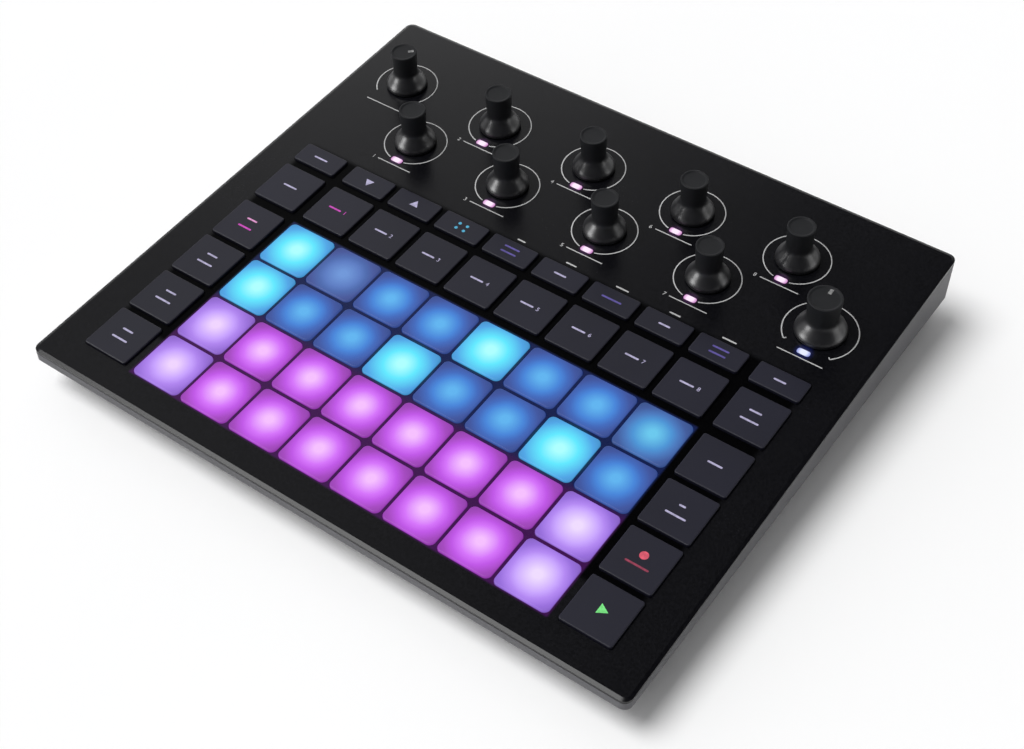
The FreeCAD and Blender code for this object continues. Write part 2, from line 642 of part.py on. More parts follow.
def hull(name, wall, lift):
    """The case as a closed block: a foot that tapers in at the front and sides, then upright
    walls, all inset by a wall's thickness and standing a lift above the underside."""
    owner = body(name)
    low = f"(1 - ({lift}) / Sizes.UndercutHeight)"
    side = f"(Sizes.UndercutInset * {low} + ({wall}))"
    base = rectangle(
        owner, name + "_base",
        f"Sizes.CaseWidth - 2 * {side}", f"Sizes.CaseDepth - {side} - ({wall})",
        "Sizes.CaseCorner",
        y=f"({side} - ({wall})) / 2", z=f"Sizes.FootHeight + ({lift})",
    )
    belt = rectangle(
        owner, name + "_belt",
        f"Sizes.CaseWidth - 2 * ({wall})", f"Sizes.CaseDepth - 2 * ({wall})",
        f"Sizes.CaseCorner - ({wall}) / 2",
        z="Derived.Belt",
    )
    taper = owner.newObject("PartDesign::AdditiveLoft", name + "_taper")
    taper.Profile = base
    taper.Sections = [belt]
    taper.Ruled = True
    doc.recompute()
    top = pad(owner, name + "_walls", belt, "Sizes.CaseDepth * sin(Sizes.Tilt) * 2")
    return owner, top


def rear_hole(name, x, z, radius):
    """A round hole through the rear wall."""
    place = to_rear(x, "Derived.WallInside - Sizes.WallThickness", z)
    return cylinder(name, radius, "3 * Sizes.WallThickness", place)


def rear_slot(name, x, z, width, height):
    """A slot through the rear wall, centred on x and z."""
    return box(
        name, width, "3 * Sizes.WallThickness", height,
        x=x, y="Derived.RearFace", z=f"({z}) - ({height}) / 2",
    )


def socket_axis(height):
    """Height of the axis of a socket that stands on the main board."""
    return f"(Derived.MainTop + ({height}) / 2)"


def midi_x(k):
    return f"(Sizes.MidiFirst - {k} * Derived.MidiPitch)"


def jack_x(k):
    return f"(Sizes.JackFirst - {k} * Derived.JackPitch)"


POWER_Z = "(Derived.MainTop + Sizes.PowerLift)"


def rear_openings():
    """Everything cut through the rear wall for the sockets and the power button."""
    gap = "Sizes.SocketGap"
    holes = [
        rear_hole(f"midi_hole_{k}", midi_x(k), socket_axis("Sizes.MidiHeight"),
                  f"Derived.MidiNose + {gap}")
        for k in range(MIDI_SOCKETS)
    ]
    holes += [
        rear_hole(f"jack_hole_{k}", jack_x(k), socket_axis("Sizes.JackHeight"),
                  f"Derived.JackNose + {gap}")
        for k in range(LARGE_JACKS)
    ]
    holes += [
        rear_hole(f"mini_hole_{x[-5:]}", x, socket_axis("Sizes.MiniHeight"),
                  f"Derived.MiniNose + {gap}")
        for x in ("Sizes.MiniSync", "Sizes.MiniPhones")
    ]
    holes.append(rear_slot("usb_hole", "Sizes.UsbPlace", socket_axis("Sizes.UsbHeight"),
                           f"Sizes.UsbWidth + 2 * {gap}", f"Sizes.UsbHeight + 2 * {gap}"))
    holes.append(rear_slot("card_hole", "Sizes.CardPlace", socket_axis("Sizes.CardHeight"),
                           "Derived.CardMouthWidth + 2 * Sizes.CardGap",
                           "Derived.CardMouthHeight + 2 * Sizes.CardGap"))
    holes.append(rear_slot("power_hole", "Sizes.PowerPlace", POWER_Z,
                           f"Sizes.PowerWidth + 2 * {gap}", f"Sizes.PowerHeight + 2 * {gap}"))
    holes.append(rear_slot("lock_hole", "Sizes.LockPlace", "Derived.MainTop + Sizes.LockLift",
                           "Sizes.LockWidth", "Sizes.LockHeight"))
    return holes


def foot_places():
    return mirrored("Derived.FootSide", "Derived.FootRow") + mirrored(
        "Derived.FootSide", "-Derived.FootRow"
    )


def battery_ribs():
    """A low frame on the floor that keeps the battery in place."""
    width = "Sizes.BatteryWidth + 2 * Sizes.RibGap"
    depth = "Sizes.BatteryDepth + 2 * Sizes.RibGap"
    frame = box("rib_frame", f"{width} + 2 * Sizes.RibThickness",
                f"{depth} + 2 * Sizes.RibThickness", "Sizes.RibHeight + Sizes.FloorThickness / 2",
                y="Sizes.BatteryRow", z="Derived.FloorTop - Sizes.FloorThickness / 2")
    inside = box("rib_inside", width, depth, "3 * Sizes.RibHeight",
                 y="Sizes.BatteryRow", z="Sizes.FootHeight")
    return cut("battery_ribs", frame, [inside])


def hooks(name, gap):
    """Blocks for the hooks under the panel's front, or with a gap for their pockets."""
    reach = f"(Sizes.HookReach + {gap})"
    height = f"(Sizes.HookHeight + 2 * {gap})"
    return [
        box(f"{name}_{k}", f"Sizes.HookWidth + 2 * {gap}", f"{reach} + Sizes.LipThickness / 2",
            height, place=DECK, x=f"{k - (HOOKS - 1) / 2} * Sizes.HookPitch",
            y=f"Derived.LipInset - Derived.DeckDepth / 2 - {reach} / 2 + Sizes.LipThickness / 4",
            z=f"-Derived.LipDepth - {gap}")
        for k in range(HOOKS)
    ]


def bottom_case():
    """The lower case: a tray with posts, board supports, ribs and the rear wall's openings."""
    outside, walls = hull("outer_hull", "0", "0")
    soften(outside, "outer_base", walls, level_edges(walls, "Sizes.FootHeight"),
           "Sizes.BaseRound")
    inside, _ = hull("inner_hull", "Sizes.WallThickness", "Sizes.FloorThickness")

    posts = [
        cylinder(f"case_post_{k}", "Derived.PostRadius", "Derived.PostTop - Sizes.FootHeight",
                 at(x, y, "Sizes.FootHeight"))
        for k, (x, y) in enumerate(CASE_SCREWS)
    ]
    under_board = "Sizes.PanelThickness + Sizes.RotaryGap + Sizes.RotaryHeight"
    under_board += " + Sizes.BoardThickness + Sizes.BoardPostGap"
    posts += [
        cylinder(f"board_post_{k}", "Derived.BoardPostRadius",
                 f"{deck_level(y, under_board)} - Sizes.FootHeight", at(x, y, "Sizes.FootHeight"))
        for k, (x, y) in enumerate(BOARD_POSTS)
    ]
    posts += [
        cylinder(f"main_post_{k}", "Derived.BoardPostRadius",
                 "Derived.MainBottom - Sizes.FootHeight", at(x, y, "Sizes.FootHeight"))
        for k, (x, y) in enumerate(MAIN_SCREWS)
    ]
    hollow = cut("hollow", inside, posts + [battery_ribs()])

    above = box("above_seam", "2 * Sizes.CaseWidth", "2 * Sizes.CaseDepth", "Sizes.CaseDepth",
                place=DECK, z="-Sizes.PanelEdge")
    tools = [hollow, above] + rear_openings() + hooks("hook_pocket", "Sizes.HookGap")
    for k, (x, y) in enumerate(CASE_SCREWS):
        tools.append(cylinder(f"head_recess_{k}", "Derived.RecessRadius", "Sizes.SeatHeight",
                              at(x, y, "0")))
        tools.append(cylinder(f"case_bore_{k}", "Sizes.ScrewRadius + Sizes.ScrewGap",
                              "2 * Derived.PostTop", at(x, y, "0")))
    for k, (x, y) in enumerate(MAIN_SCREWS):
        tools.append(cylinder(f"main_bore_{k}", "Sizes.SmallRadius + Sizes.ScrewGap",
                              "Sizes.SmallLength",
                              at(x, y, "Derived.MainTop - Sizes.SmallLength")))
    for k, (x, y) in enumerate(foot_places()):
        tools.append(cylinder(f"foot_recess_{k}", "Sizes.FootRadius",
                              "Sizes.FootHeight + Sizes.FootSink", at(x, y, "0")))
    return cut("bottom_case", outside, tools)


def windows(name, width, height, corner, x, y, columns, pitch, rows=1):
    """A grid of blocks as long as the panel is thick and more, to cut its windows with."""
    owner = body(name, DECK)
    outline = rectangle(owner, f"{name}_outline", width, height, corner, x=x, y=y,
                        z="Sizes.PanelThickness")
    block = pad(owner, f"{name}_block", outline, "3 * Sizes.PanelThickness", down=True)
    spread(owner, f"{name}_grid", block, columns, pitch, rows, "Sizes.RowPitch")
    return owner


def key_windows():
    """Blocks for the windows of every pad and button."""
    def size(width, height, corner):
        return (f"{width} + 2 * Sizes.KeyGap", f"{height} + 2 * Sizes.KeyGap",
                f"{corner} + Sizes.KeyGap")

    square_pad = size("Derived.PadWidth", "Derived.PadDepth", "Sizes.PadCorner")
    square = size("Derived.ButtonWidth", "Derived.ButtonDepth", "Sizes.ButtonCorner")
    slim = size("Derived.ButtonWidth", "Sizes.SlimSize", "Sizes.ButtonCorner")
    across = (PAD_COLUMNS, "Sizes.ColumnPitch")
    ends = (2, "2 * Derived.SideColumn")
    return [
        windows("pad_windows", *square_pad, FIRST_COLUMN, "Sizes.FirstPadRow", *across, PAD_ROWS),
        windows("side_windows", *square, "-Derived.SideColumn", "Sizes.FirstPadRow", *ends,
                PAD_ROWS),
        windows("wide_windows", *square, FIRST_COLUMN, "Derived.WideRow", *across),
        windows("wide_end_windows", *square, "-Derived.SideColumn", "Derived.WideRow", *ends),
        windows("slim_windows", *slim, FIRST_COLUMN, "Derived.SlimRow", *across),
        windows("slim_end_windows", *slim, "-Derived.SideColumn", "Derived.SlimRow", *ends),
    ]


def knob_openings():
    """Blocks for the bushings' holes and for the slots of the light windows."""
    holes = [
        cylinder(f"{label}_hole", "Derived.BushingHole", "3 * Sizes.PanelThickness",
                 on_deck(x, y, "-2 * Sizes.PanelThickness"))
        for label, x, y, _ in KNOBS
    ]
    slots = [
        windows(f"{label}_slot", "Sizes.LightLength + 2 * Sizes.LightGap",
                "Sizes.LightWidth + 2 * Sizes.LightGap", "Sizes.LightCorner",
                x, f"{y} - Sizes.LightOffset", count, "2 * Sizes.ColumnPitch")
        for label, x, y, count in LIGHT_RUNS
    ]
    return holes + slots


def panel_plate():
    """The panel with its bevelled edge, its core between the walls and its locating lip."""
    owner = body("panel_plate", DECK)
    outline = rectangle(owner, "panel_outline", "Sizes.CaseWidth",
                        "Derived.DeckDepth - Derived.EdgeLean", "Sizes.CaseCorner",
                        y="-Derived.EdgeLean / 2")
    edge = pad(owner, "panel_edge", outline, "Sizes.PanelEdge", down=True)
    bevel(owner, "panel_bevel", edge, level_edges(edge, "0"), "Sizes.BevelDown",
          "Sizes.BevelAcross")
    inset = "Derived.LipInset"
    inner = (f"Sizes.CaseWidth - 2 * {inset}", f"Derived.DeckDepth - 2 * {inset}",
             "Sizes.CaseCorner / 2")
    pad(owner, "panel_core", rectangle(owner, "core_outline", *inner),
        "Sizes.PanelThickness", down=True)
    lip = sketch_on(owner, "lip_outline")
    add_rectangle(lip, *inner)
    add_rectangle(lip, f"{inner[0]} - 2 * Sizes.LipThickness",
                  f"{inner[1]} - 2 * Sizes.LipThickness", "Sizes.CaseCorner / 3", tag="Inner")
    pad(owner, "panel_lip", lip, "Derived.LipDepth", down=True)
    return owner


def top_case():
    """The panel with its windows, the bosses that take the case screws, and the standoffs
    that take the control board's screws."""
    pierced = cut("pierced_panel", panel_plate(), key_windows() + knob_openings())
    drop = "Sizes.PanelThickness / 2"
    bosses = [
        cylinder(f"boss_{k}", "Derived.BossRadius", f"{deck_level(y, drop)} - Derived.PostTop",
                 at(x, y, "Derived.PostTop"))
        for k, (x, y) in enumerate(CASE_SCREWS)
    ]
    bosses += [
        cylinder(f"standoff_{k}", "Derived.BoardPostRadius", f"-Derived.BoardTop - {drop}",
                 on_deck(x, y, "Derived.BoardTop"))
        for k, (x, y) in enumerate(STANDOFFS)
    ]
    bores = [
        cylinder(f"boss_bore_{k}", "Sizes.ScrewRadius + Sizes.ScrewGap",
                 "Sizes.ScrewLength + 2 * Sizes.ScrewGap", at(x, y, "Sizes.SeatHeight"))
        for k, (x, y) in enumerate(CASE_SCREWS)
    ]
    bores += [
        cylinder(f"standoff_bore_{k}", "Sizes.SmallRadius + Sizes.ScrewGap", "Sizes.SmallLength",
                 on_deck(x, y, "Derived.BoardBottom"))
        for k, (x, y) in enumerate(STANDOFFS)
    ]
    whole = fuse("panel_with_bosses", [pierced] + bosses + hooks("hook", "0"))
    return cut("top_case", whole, bores)


def rubber_feet():
    """Round feet let into the underside."""
    feet = []
    for k, (x, y) in enumerate(foot_places()):
        foot = body(f"foot_{k}", at(x, y, "0"))
        block = pad(foot, f"foot_block_{k}", disc(foot, f"foot_circle_{k}",
                                                  "Sizes.FootRadius - Sizes.ScrewGap"),
                    "Sizes.FootHeight + Sizes.FootSink")
        bevel(foot, f"foot_bevel_{k}", block, level_edges(block, "0"), "Sizes.FootBevel",
              "Sizes.FootBevel")
        feet.append(foot)
    return group("rubber_feet", feet)


def screw(name, place, radius, length, head_radius, head_height):
    """A screw whose head lies below the seat of its placement and whose shank points up."""
    under = f"{place} * {at(z=f'-({head_height})')}"
    head = cylinder(f"{name}_head", head_radius, head_height, under)
    shank = cylinder(f"{name}_shank", radius, length, place)
    drive = make("Part::Prism", f"{name}_drive", Circumradius="Sizes.DriveRadius",
                 Height=f"({head_height}) - Sizes.DriveFloor", Placement=under)
    drive.Polygon = 6
    return cut(name, fuse(f"{name}_blank", [head, shank]), [drive])


def screws():
    """Case screws from below, and the screws that hold the two boards."""
    made = [
        screw(f"case_screw_{k}", at(x, y, "Sizes.SeatHeight"), "Sizes.ScrewRadius",
              "Sizes.ScrewLength", "Derived.HeadRadius", "Sizes.HeadHeight")
        for k, (x, y) in enumerate(CASE_SCREWS)
    ]
    small = ("Sizes.SmallRadius", "Sizes.SmallLength - 2 * Sizes.ScrewGap", "Derived.SmallHead",
             "Sizes.SmallHeight")
    made += [
        screw(f"deck_screw_{k}", on_deck(x, y, "Derived.BoardBottom"), *small)
        for k, (x, y) in enumerate(STANDOFFS)
    ]
    made += [
        screw(f"main_screw_{k}", at(x, y, "Derived.MainTop", turn="180", axis="1; 0; 0"), *small)
        for k, (x, y) in enumerate(MAIN_SCREWS)
    ]
    return group("screws", made)


# Keys

def plunger_and_flange(owner, tag, width, height, corner, **where):
    """The retaining flange and the plunger under one key."""
    reach = "2 * Sizes.FlangeReach"
    flange = rectangle(owner, f"{tag}_flange_sketch", f"{width} + {reach}", f"{height} + {reach}",
                       f"{corner} + Sizes.FlangeReach", z="Derived.FlangeTop", **where)
    pad(owner, f"{tag}_flange", flange, "Sizes.FlangeThickness", down=True)
    plunger = rectangle(owner, f"{tag}_plunger_sketch", "Sizes.PlungerSize", "Sizes.PlungerSize",
                        "Sizes.PlungerCorner", z="Derived.FlangeBottom", **where)
    return pad(owner, f"{tag}_plunger", plunger, "Sizes.PlungerDrop", down=True)


def playing_pad(row, column):
    """One pad: a soft square cap with a flange under the panel and a plunger over its dome."""
    label = f"pad_{row + 1}_{column + 1}"
    x = f"{column - (PAD_COLUMNS - 1) / 2} * Sizes.ColumnPitch"
    y = f"Sizes.FirstPadRow - {row} * Sizes.RowPitch"
    owner = body(label, on_deck(x, y))
    cap = rectangle(owner, f"{label}_sketch", "Derived.PadWidth", "Derived.PadDepth",
                    "Sizes.PadCorner", z="Sizes.PadProud")
    block = pad(owner, f"{label}_cap", cap, "Sizes.PadProud - Derived.FlangeTop", down=True)
    soften(owner, f"{label}_round", block, level_edges(block, "Sizes.PadProud"),
           "Sizes.PadRound")
    plunger_and_flange(owner, label, "Derived.PadWidth", "Derived.PadDepth", "Sizes.PadCorner")
    return owner


def button_row(label, row, depth):
    """A row of buttons right across the deck, moulded on one strip."""
    runs = [(FIRST_COLUMN, PAD_COLUMNS, "Sizes.ColumnPitch"),
            ("-Derived.SideColumn", 2, "2 * Derived.SideColumn")]
    owner = body(label, DECK)
    web = rectangle(owner, f"{label}_web_sketch",
                    "2 * Derived.SideColumn + Derived.ButtonWidth + 2 * Sizes.FlangeReach",
                    f"{depth} + 2 * Sizes.FlangeReach", "Sizes.ButtonCorner + Sizes.FlangeReach",
                    y=row, z="Derived.FlangeTop")
    pad(owner, f"{label}_web", web, "Sizes.FlangeThickness", down=True)
    for k, (x, count, pitch) in enumerate(runs):
        cap_and_plunger(owner, f"{label}_{k}", x, row, depth, (count, pitch))
    return rounded_caps(owner, label)


def button_column(label, x):
    """A column of square buttons beside the pads, moulded on one strip."""
    owner = body(label, DECK)
    last = f"Sizes.FirstPadRow - {PAD_ROWS - 1} * Sizes.RowPitch"
    web = rectangle(owner, f"{label}_web_sketch", "Derived.ButtonWidth + 2 * Sizes.FlangeReach",
                    f"{PAD_ROWS - 1} * Sizes.RowPitch + Derived.ButtonDepth"
                    " + 2 * Sizes.FlangeReach",
                    "Sizes.ButtonCorner + Sizes.FlangeReach",
                    x=x, y=f"(Sizes.FirstPadRow + {last}) / 2", z="Derived.FlangeTop")
    pad(owner, f"{label}_web", web, "Sizes.FlangeThickness", down=True)
    cap_and_plunger(owner, label, x, "Sizes.FirstPadRow", "Derived.ButtonDepth",
                    (1, "Sizes.RowPitch", PAD_ROWS, "Sizes.RowPitch"))
    return rounded_caps(owner, label)


def cap_and_plunger(owner, tag, x, y, depth, repeat):
    """One button's cap above the strip and its plunger below, repeated along the strip."""
    cap = rectangle(owner, f"{tag}_cap_sketch", "Derived.ButtonWidth", depth,
                    "Sizes.ButtonCorner", x=x, y=y, z="Sizes.ButtonProud")
    block = pad(owner, f"{tag}_cap", cap, "Sizes.ButtonProud - Derived.FlangeTop", down=True)
    spread(owner, f"{tag}_caps", block, *repeat)
    foot = rectangle(owner, f"{tag}_plunger_sketch", "Sizes.PlungerSize",
                     f"min(Sizes.PlungerSize; {depth} - 2 * Sizes.PlungerInset)",
                     "Sizes.PlungerCorner", x=x, y=y, z="Derived.FlangeBottom")
    plunger = pad(owner, f"{tag}_plunger", foot, "Sizes.PlungerDrop", down=True)
    spread(owner, f"{tag}_plungers", plunger, *repeat)


def rounded_caps(owner, label):
    """Rounds the top edges of every cap on a strip."""
    soften(owner, f"{label}_round", owner.Tip, level_edges(owner.Tip, "Sizes.ButtonProud"),
           "Sizes.ButtonRound")
    return owner


def key_places():
    """Where every pad and button is on the deck."""
    columns = [f"{k - (PAD_COLUMNS - 1) / 2} * Sizes.ColumnPitch" for k in range(PAD_COLUMNS)]
    columns += ["-Derived.SideColumn", "Derived.SideColumn"]
    rows = [f"Sizes.FirstPadRow - {k} * Sizes.RowPitch" for k in range(PAD_ROWS)]
    rows += ["Derived.WideRow", "Derived.SlimRow"]
    return [(x, y) for y in rows for x in columns]


def key_mat():
    """The rubber mat under the keys, with a round dome under each plunger."""
    front = "(Derived.BoardFront + Sizes.MatMargin)"
    sheet_block = box("mat_sheet", "Derived.BoardWidth - 2 * Sizes.MatMargin",
                      f"Derived.MatRear - {front}", "Sizes.MatThickness", place=DECK,
                      y=f"(Derived.MatRear + {front}) / 2", z="Derived.BoardTop")
    domes = [
        make("Part::Cone", f"dome_{k}", Radius1="Sizes.DomeBase", Radius2="Sizes.DomeTop",
             Height="Derived.DomeTop - Derived.BoardTop", Placement=on_deck(x, y, "Derived.BoardTop"))
        for k, (x, y) in enumerate(key_places())
    ]
    return fuse("key_mat", [sheet_block] + domes)


# Knobs and what turns under them

def arc_into(here, there, beyond):
    """The arc from here to there that runs on smoothly towards beyond, and whether it turns
    anticlockwise. Arcs are drawn anticlockwise, so one that turns the other way is drawn from
    its far end."""
    onward = (beyond - there).normalize()
    square = Vector(-onward.y, onward.x, 0)
    chord = here - there
    radius = chord.dot(chord) / (2 * square.dot(chord))
    centre = there + square * radius
    start, end = (math.atan2(p.y - centre.y, p.x - centre.x) for p in (here, there))
    anticlockwise = (end - start) % math.tau < math.pi
    if not anticlockwise:
        start, end = end, start
    if end < start:
        end += math.tau
    circle = Part.Circle(centre, Vector(0, 0, 1), abs(radius))
    return Part.ArcOfCircle(circle, start, end), anticlockwise


def add_outline(sketch, points, arcs):
    """A closed outline through points given as pairs of expressions, none of them negative.
    arcs holds the sides that are arcs, each running on smoothly into the next side."""
    places = [Vector(number(x), number(y), 0) for x, y in points]
    count = len(places)
    ends = []
    for k in range(count):
        here, there, beyond = (places[(k + step) % count] for step in range(3))
        forwards = True
        if k in arcs:
            side, forwards = arc_into(here, there, beyond)
        else:
            side = Part.LineSegment(here, there)
        ends.append((sketch.addGeometry(side), *((1, 2) if forwards else (2, 1))))
    for k in range(count):
        index, _, end = ends[k]
        following, start, _ = ends[(k + 1) % count]
        joint = "Tangent" if k in arcs else "Coincident"
        sketch.addConstraint(Sketcher.Constraint(joint, index, end, following, start))
    for k, (x, y) in enumerate(points):
        index, start, _ = ends[k]
        if x == "0":
            sketch.addConstraint(Sketcher.Constraint("PointOnObject", index, start, -2))
        else:
            measure(sketch, "DistanceX", f"Across{k}", x, -1, 1, index, start)
        measure(sketch, "DistanceY", f"Up{k}", y, -1, 1, index, start)


def knob(label, x, y, limited):
    """A tall knob with a flared skirt over a hollow, on its shaft. The two knobs that stop at
    their ends have a pointer groove."""
    large = label == "master_filter_knob"
    top, neck, skirt = (
        f"Derived.{'Filter' if large else 'Knob'}{part}" for part in ("Top", "Neck", "Skirt")
    )
    turn = "Sizes.VolumeTurn" if label == "master_volume_knob" else "0"
    bore = "Sizes.ShaftRadius + Sizes.ScrewGap"
    hollow = f"{skirt} - Sizes.SkirtWall"
    dish = f"{top} - Sizes.DishRim - Sizes.DishDepth"
    points = [
        (hollow, "Sizes.SkirtGap"),
        (skirt, "Sizes.SkirtGap"),
        (skirt, "Sizes.SkirtGap + Sizes.SkirtLip"),
        (neck, "Sizes.FlareHeight"),
        (top, "Sizes.KnobHeight"),
        (f"{top} - Sizes.DishRim", "Sizes.KnobHeight"),
        (dish, "Sizes.KnobHeight - Sizes.DishDepth"),
        ("0", "Sizes.KnobHeight - Sizes.DishDepth"),
        ("0", "Derived.BoreTop"),
        (bore, "Derived.BoreTop"),
        (bore, "Derived.HollowTop"),
        (hollow, "Derived.HollowTop"),
    ]
    cap = body(f"{label}_cap", on_deck(x, y, turn=turn))
    sketch = sketch_on(cap, f"{label}_outline", role="XZ_Plane")
    add_outline(sketch, points, arcs={2})
    turned = cap.newObject("PartDesign::Revolution", f"{label}_turned")
    turned.Profile = sketch
    turned.ReferenceAxis = (sketch, ["V_Axis"])
    turned.Angle = 360
    doc.recompute()
    rim = edges_where(
        turned,
        lambda point: abs(point.z - number("Sizes.KnobHeight")) < TOLERANCE
        and abs(point.x**2 + point.y**2 - number(top) ** 2) < TOLERANCE,
    )
    soften(cap, f"{label}_round", turned, rim, "Sizes.KnobRound")
    if limited:
        mark = rectangle(cap, f"{label}_mark", "Sizes.PointerWidth", "Sizes.PointerLength",
                         "Sizes.PointerWidth / 4",
                         y=f"{dish} - Sizes.PointerLength / 2 - Sizes.PointerWidth / 4",
                         z="Sizes.KnobHeight")
        pocket(cap, f"{label}_groove", mark, "Sizes.PointerDepth")
    low = "Derived.BoardTop + Sizes.BoreFloor + Sizes.ShaftEndGap"
    shaft = cylinder(f"{label}_shaft", "Sizes.ShaftRadius",
                     f"Derived.BoreTop - Sizes.ScrewGap - ({low})", on_deck(x, y, low))
    return group(label, [cap, shaft])


def rotary_bodies():
    """An encoder or potentiometer on the control board under each knob, and its nut."""
    made = []
    for label, x, y, _ in KNOBS:
        base = box(f"{label}_base", "Sizes.RotaryWidth", "Sizes.RotaryWidth",
                   "Sizes.RotaryHeight", place=on_deck(x, y), z="Derived.BoardTop")
        top = "(Derived.BoardTop + Sizes.RotaryHeight)"
        bushing = cylinder(f"{label}_bushing", "Derived.BushingRadius",
                           f"Sizes.BushingProud - {top} + {OVERLAP}",
                           on_deck(x, y, f"{top} - {OVERLAP}"))
        bore = cylinder(f"{label}_bore", "Sizes.ShaftRadius + Sizes.ShaftGap",
                        "Sizes.BushingProud - Derived.BoardTop",
                        on_deck(x, y, "Derived.BoardTop + Sizes.BoreFloor"))
        made.append(cut(f"{label}_rotary", fuse(f"{label}_blank", [base, bushing]), [bore]))
        blank = make("Part::Prism", f"{label}_nut_blank", Circumradius="Derived.NutRadius",
                     Height="Sizes.NutHeight", Placement=on_deck(x, y))
        blank.Polygon = 6
        thread = cylinder(f"{label}_nut_bore", "Derived.BushingRadius + Sizes.ScrewGap",
                          "2 * Sizes.NutHeight", on_deck(x, y, "-Sizes.NutHeight / 2"))
        made.append(cut(f"{label}_nut", blank, [thread]))
    return group("rotary_bodies", made)


def led_windows():
    """A light guide in front of each lit knob, from its slot down to the control board."""
    made = []
    corner = "Sizes.LightCorner - Sizes.LightGap"
    for label, x, y, _ in LIT_KNOBS:
        guide = body(f"{label}_light", on_deck(x, f"{y} - Sizes.LightOffset"))
        face = rectangle(guide, f"{label}_light_sketch", "Sizes.LightLength", "Sizes.LightWidth",
                         corner, z="Sizes.LightProud")
        pad(guide, f"{label}_light_face", face, "Sizes.LightProud - Derived.BoardTop",
            down=True)
        flange = rectangle(guide, f"{label}_light_flange_sketch",
                           "Sizes.LightLength + 2 * Sizes.LightFlange",
                           "Sizes.LightWidth + 2 * Sizes.LightFlange", corner,
                           z="-Sizes.PanelThickness")
        pad(guide, f"{label}_light_flange", flange, "Sizes.FlangeThickness", down=True)
        made.append(guide)
    return group("led_windows", made)


# Boards and battery

def control_board():
    """The board under the deck, with clearance holes for the bosses and bores for its screws."""
    middle = "(Derived.BoardRear + Derived.BoardFront) / 2"
    plate = box("control_plate", "Derived.BoardWidth", "Derived.BoardRear - Derived.BoardFront",
                "Sizes.BoardThickness", place=DECK, y=middle, z="Derived.BoardBottom")
    holes = [
        cylinder(f"board_hole_{k}", "Derived.BossRadius + Sizes.BossGap", "2 * Derived.DeckHeight",
                 at(x, y, "Derived.FloorTop"))
        for k, (x, y) in enumerate(CASE_SCREWS)
    ]
    holes += [
        cylinder(f"board_bore_{k}", "Sizes.SmallRadius + Sizes.ScrewGap",
                 "3 * Sizes.BoardThickness",
                 on_deck(x, y, "Derived.BoardBottom - Sizes.BoardThickness"))
        for k, (x, y) in enumerate(STANDOFFS)
    ]
    return cut("control_board", plate, holes)


def main_board():
    """The board behind the rear wall that carries the sockets, its chips and the header."""
    depth = "(Derived.MainRear - Sizes.MainBoardFront)"
    plate = box("main_plate", "Derived.MainBoardWidth", depth, "Sizes.BoardThickness",
                y=f"Sizes.MainBoardFront + {depth} / 2", z="Derived.MainBottom")
    holes = [
        cylinder(f"main_hole_{k}", "Derived.PostRadius + Sizes.BossGap",
                 "4 * Sizes.BoardThickness", at(x, y, "Derived.MainBottom - Sizes.BoardThickness"))
        for k, (x, y) in enumerate(CASE_SCREWS)
    ]
    holes += [
        cylinder(f"main_screw_hole_{k}", "Sizes.SmallRadius + Sizes.ScrewGap",
                 "4 * Sizes.BoardThickness", at(x, y, "Derived.MainBottom - Sizes.BoardThickness"))
        for k, (x, y) in enumerate(MAIN_SCREWS)
    ]
    under = "Sizes.PanelThickness + Sizes.RotaryGap + Sizes.RotaryHeight + Sizes.BoardThickness"
    front_of_header = "(Sizes.HeaderRow - Sizes.HeaderDepth / 2)"
    header = box("header", "Sizes.HeaderWidth", "Sizes.HeaderDepth",
                 f"{deck_level(front_of_header, under)} - Sizes.HeaderGap - Derived.MainTop",
                 y="Sizes.HeaderRow", z="Derived.MainTop")
    chips = [
        box(f"chip_{k}", width, depth, "Sizes.ChipHeight", x=x, y="Sizes.ChipRow",
            z="Derived.MainTop")
        for k, (x, width, depth) in enumerate(CHIPS)
    ]
    return group("main_board", [cut("main_sheet", plate, holes), header] + chips)


def battery_pack():
    """A flat rechargeable pack on the floor between its ribs."""
    owner = body("battery_pack", at("0", "Sizes.BatteryRow", "Derived.FloorTop"))
    block = pad(owner, "battery_block",
                rectangle(owner, "battery_sketch", "Sizes.BatteryWidth", "Sizes.BatteryDepth",
                          "2 * Sizes.BatteryRound"), "Sizes.BatteryHeight")
    soften(owner, "battery_round", block,
           level_edges(block, "Sizes.BatteryHeight") + level_edges(block, "0"),
           "Sizes.BatteryRound")
    return owner


# Sockets

def socket_block(name, x, width, height, depth):
    """A socket's body on the main board, its front face against the rear wall."""
    return box(name, width, f"{depth} - Sizes.SocketSetback", height, x=x,
               y=f"Derived.WallInside - ({depth} + Sizes.SocketSetback) / 2", z="Derived.MainTop")


def nose(name, x, z, radius):
    """The round part of a socket that fills its hole in the rear wall."""
    return cylinder(name, radius, f"Sizes.WallThickness + {OVERLAP}",
                    to_rear(x, f"Derived.WallInside - {OVERLAP}", z))


def bore_from_rear(name, x, z, radius, depth):
    """A blind bore from the rear wall's face into a socket."""
    return cylinder(name, radius, f"({depth}) + {OVERLAP}",
                    to_rear(x, f"Derived.RearFace - ({depth})", z))


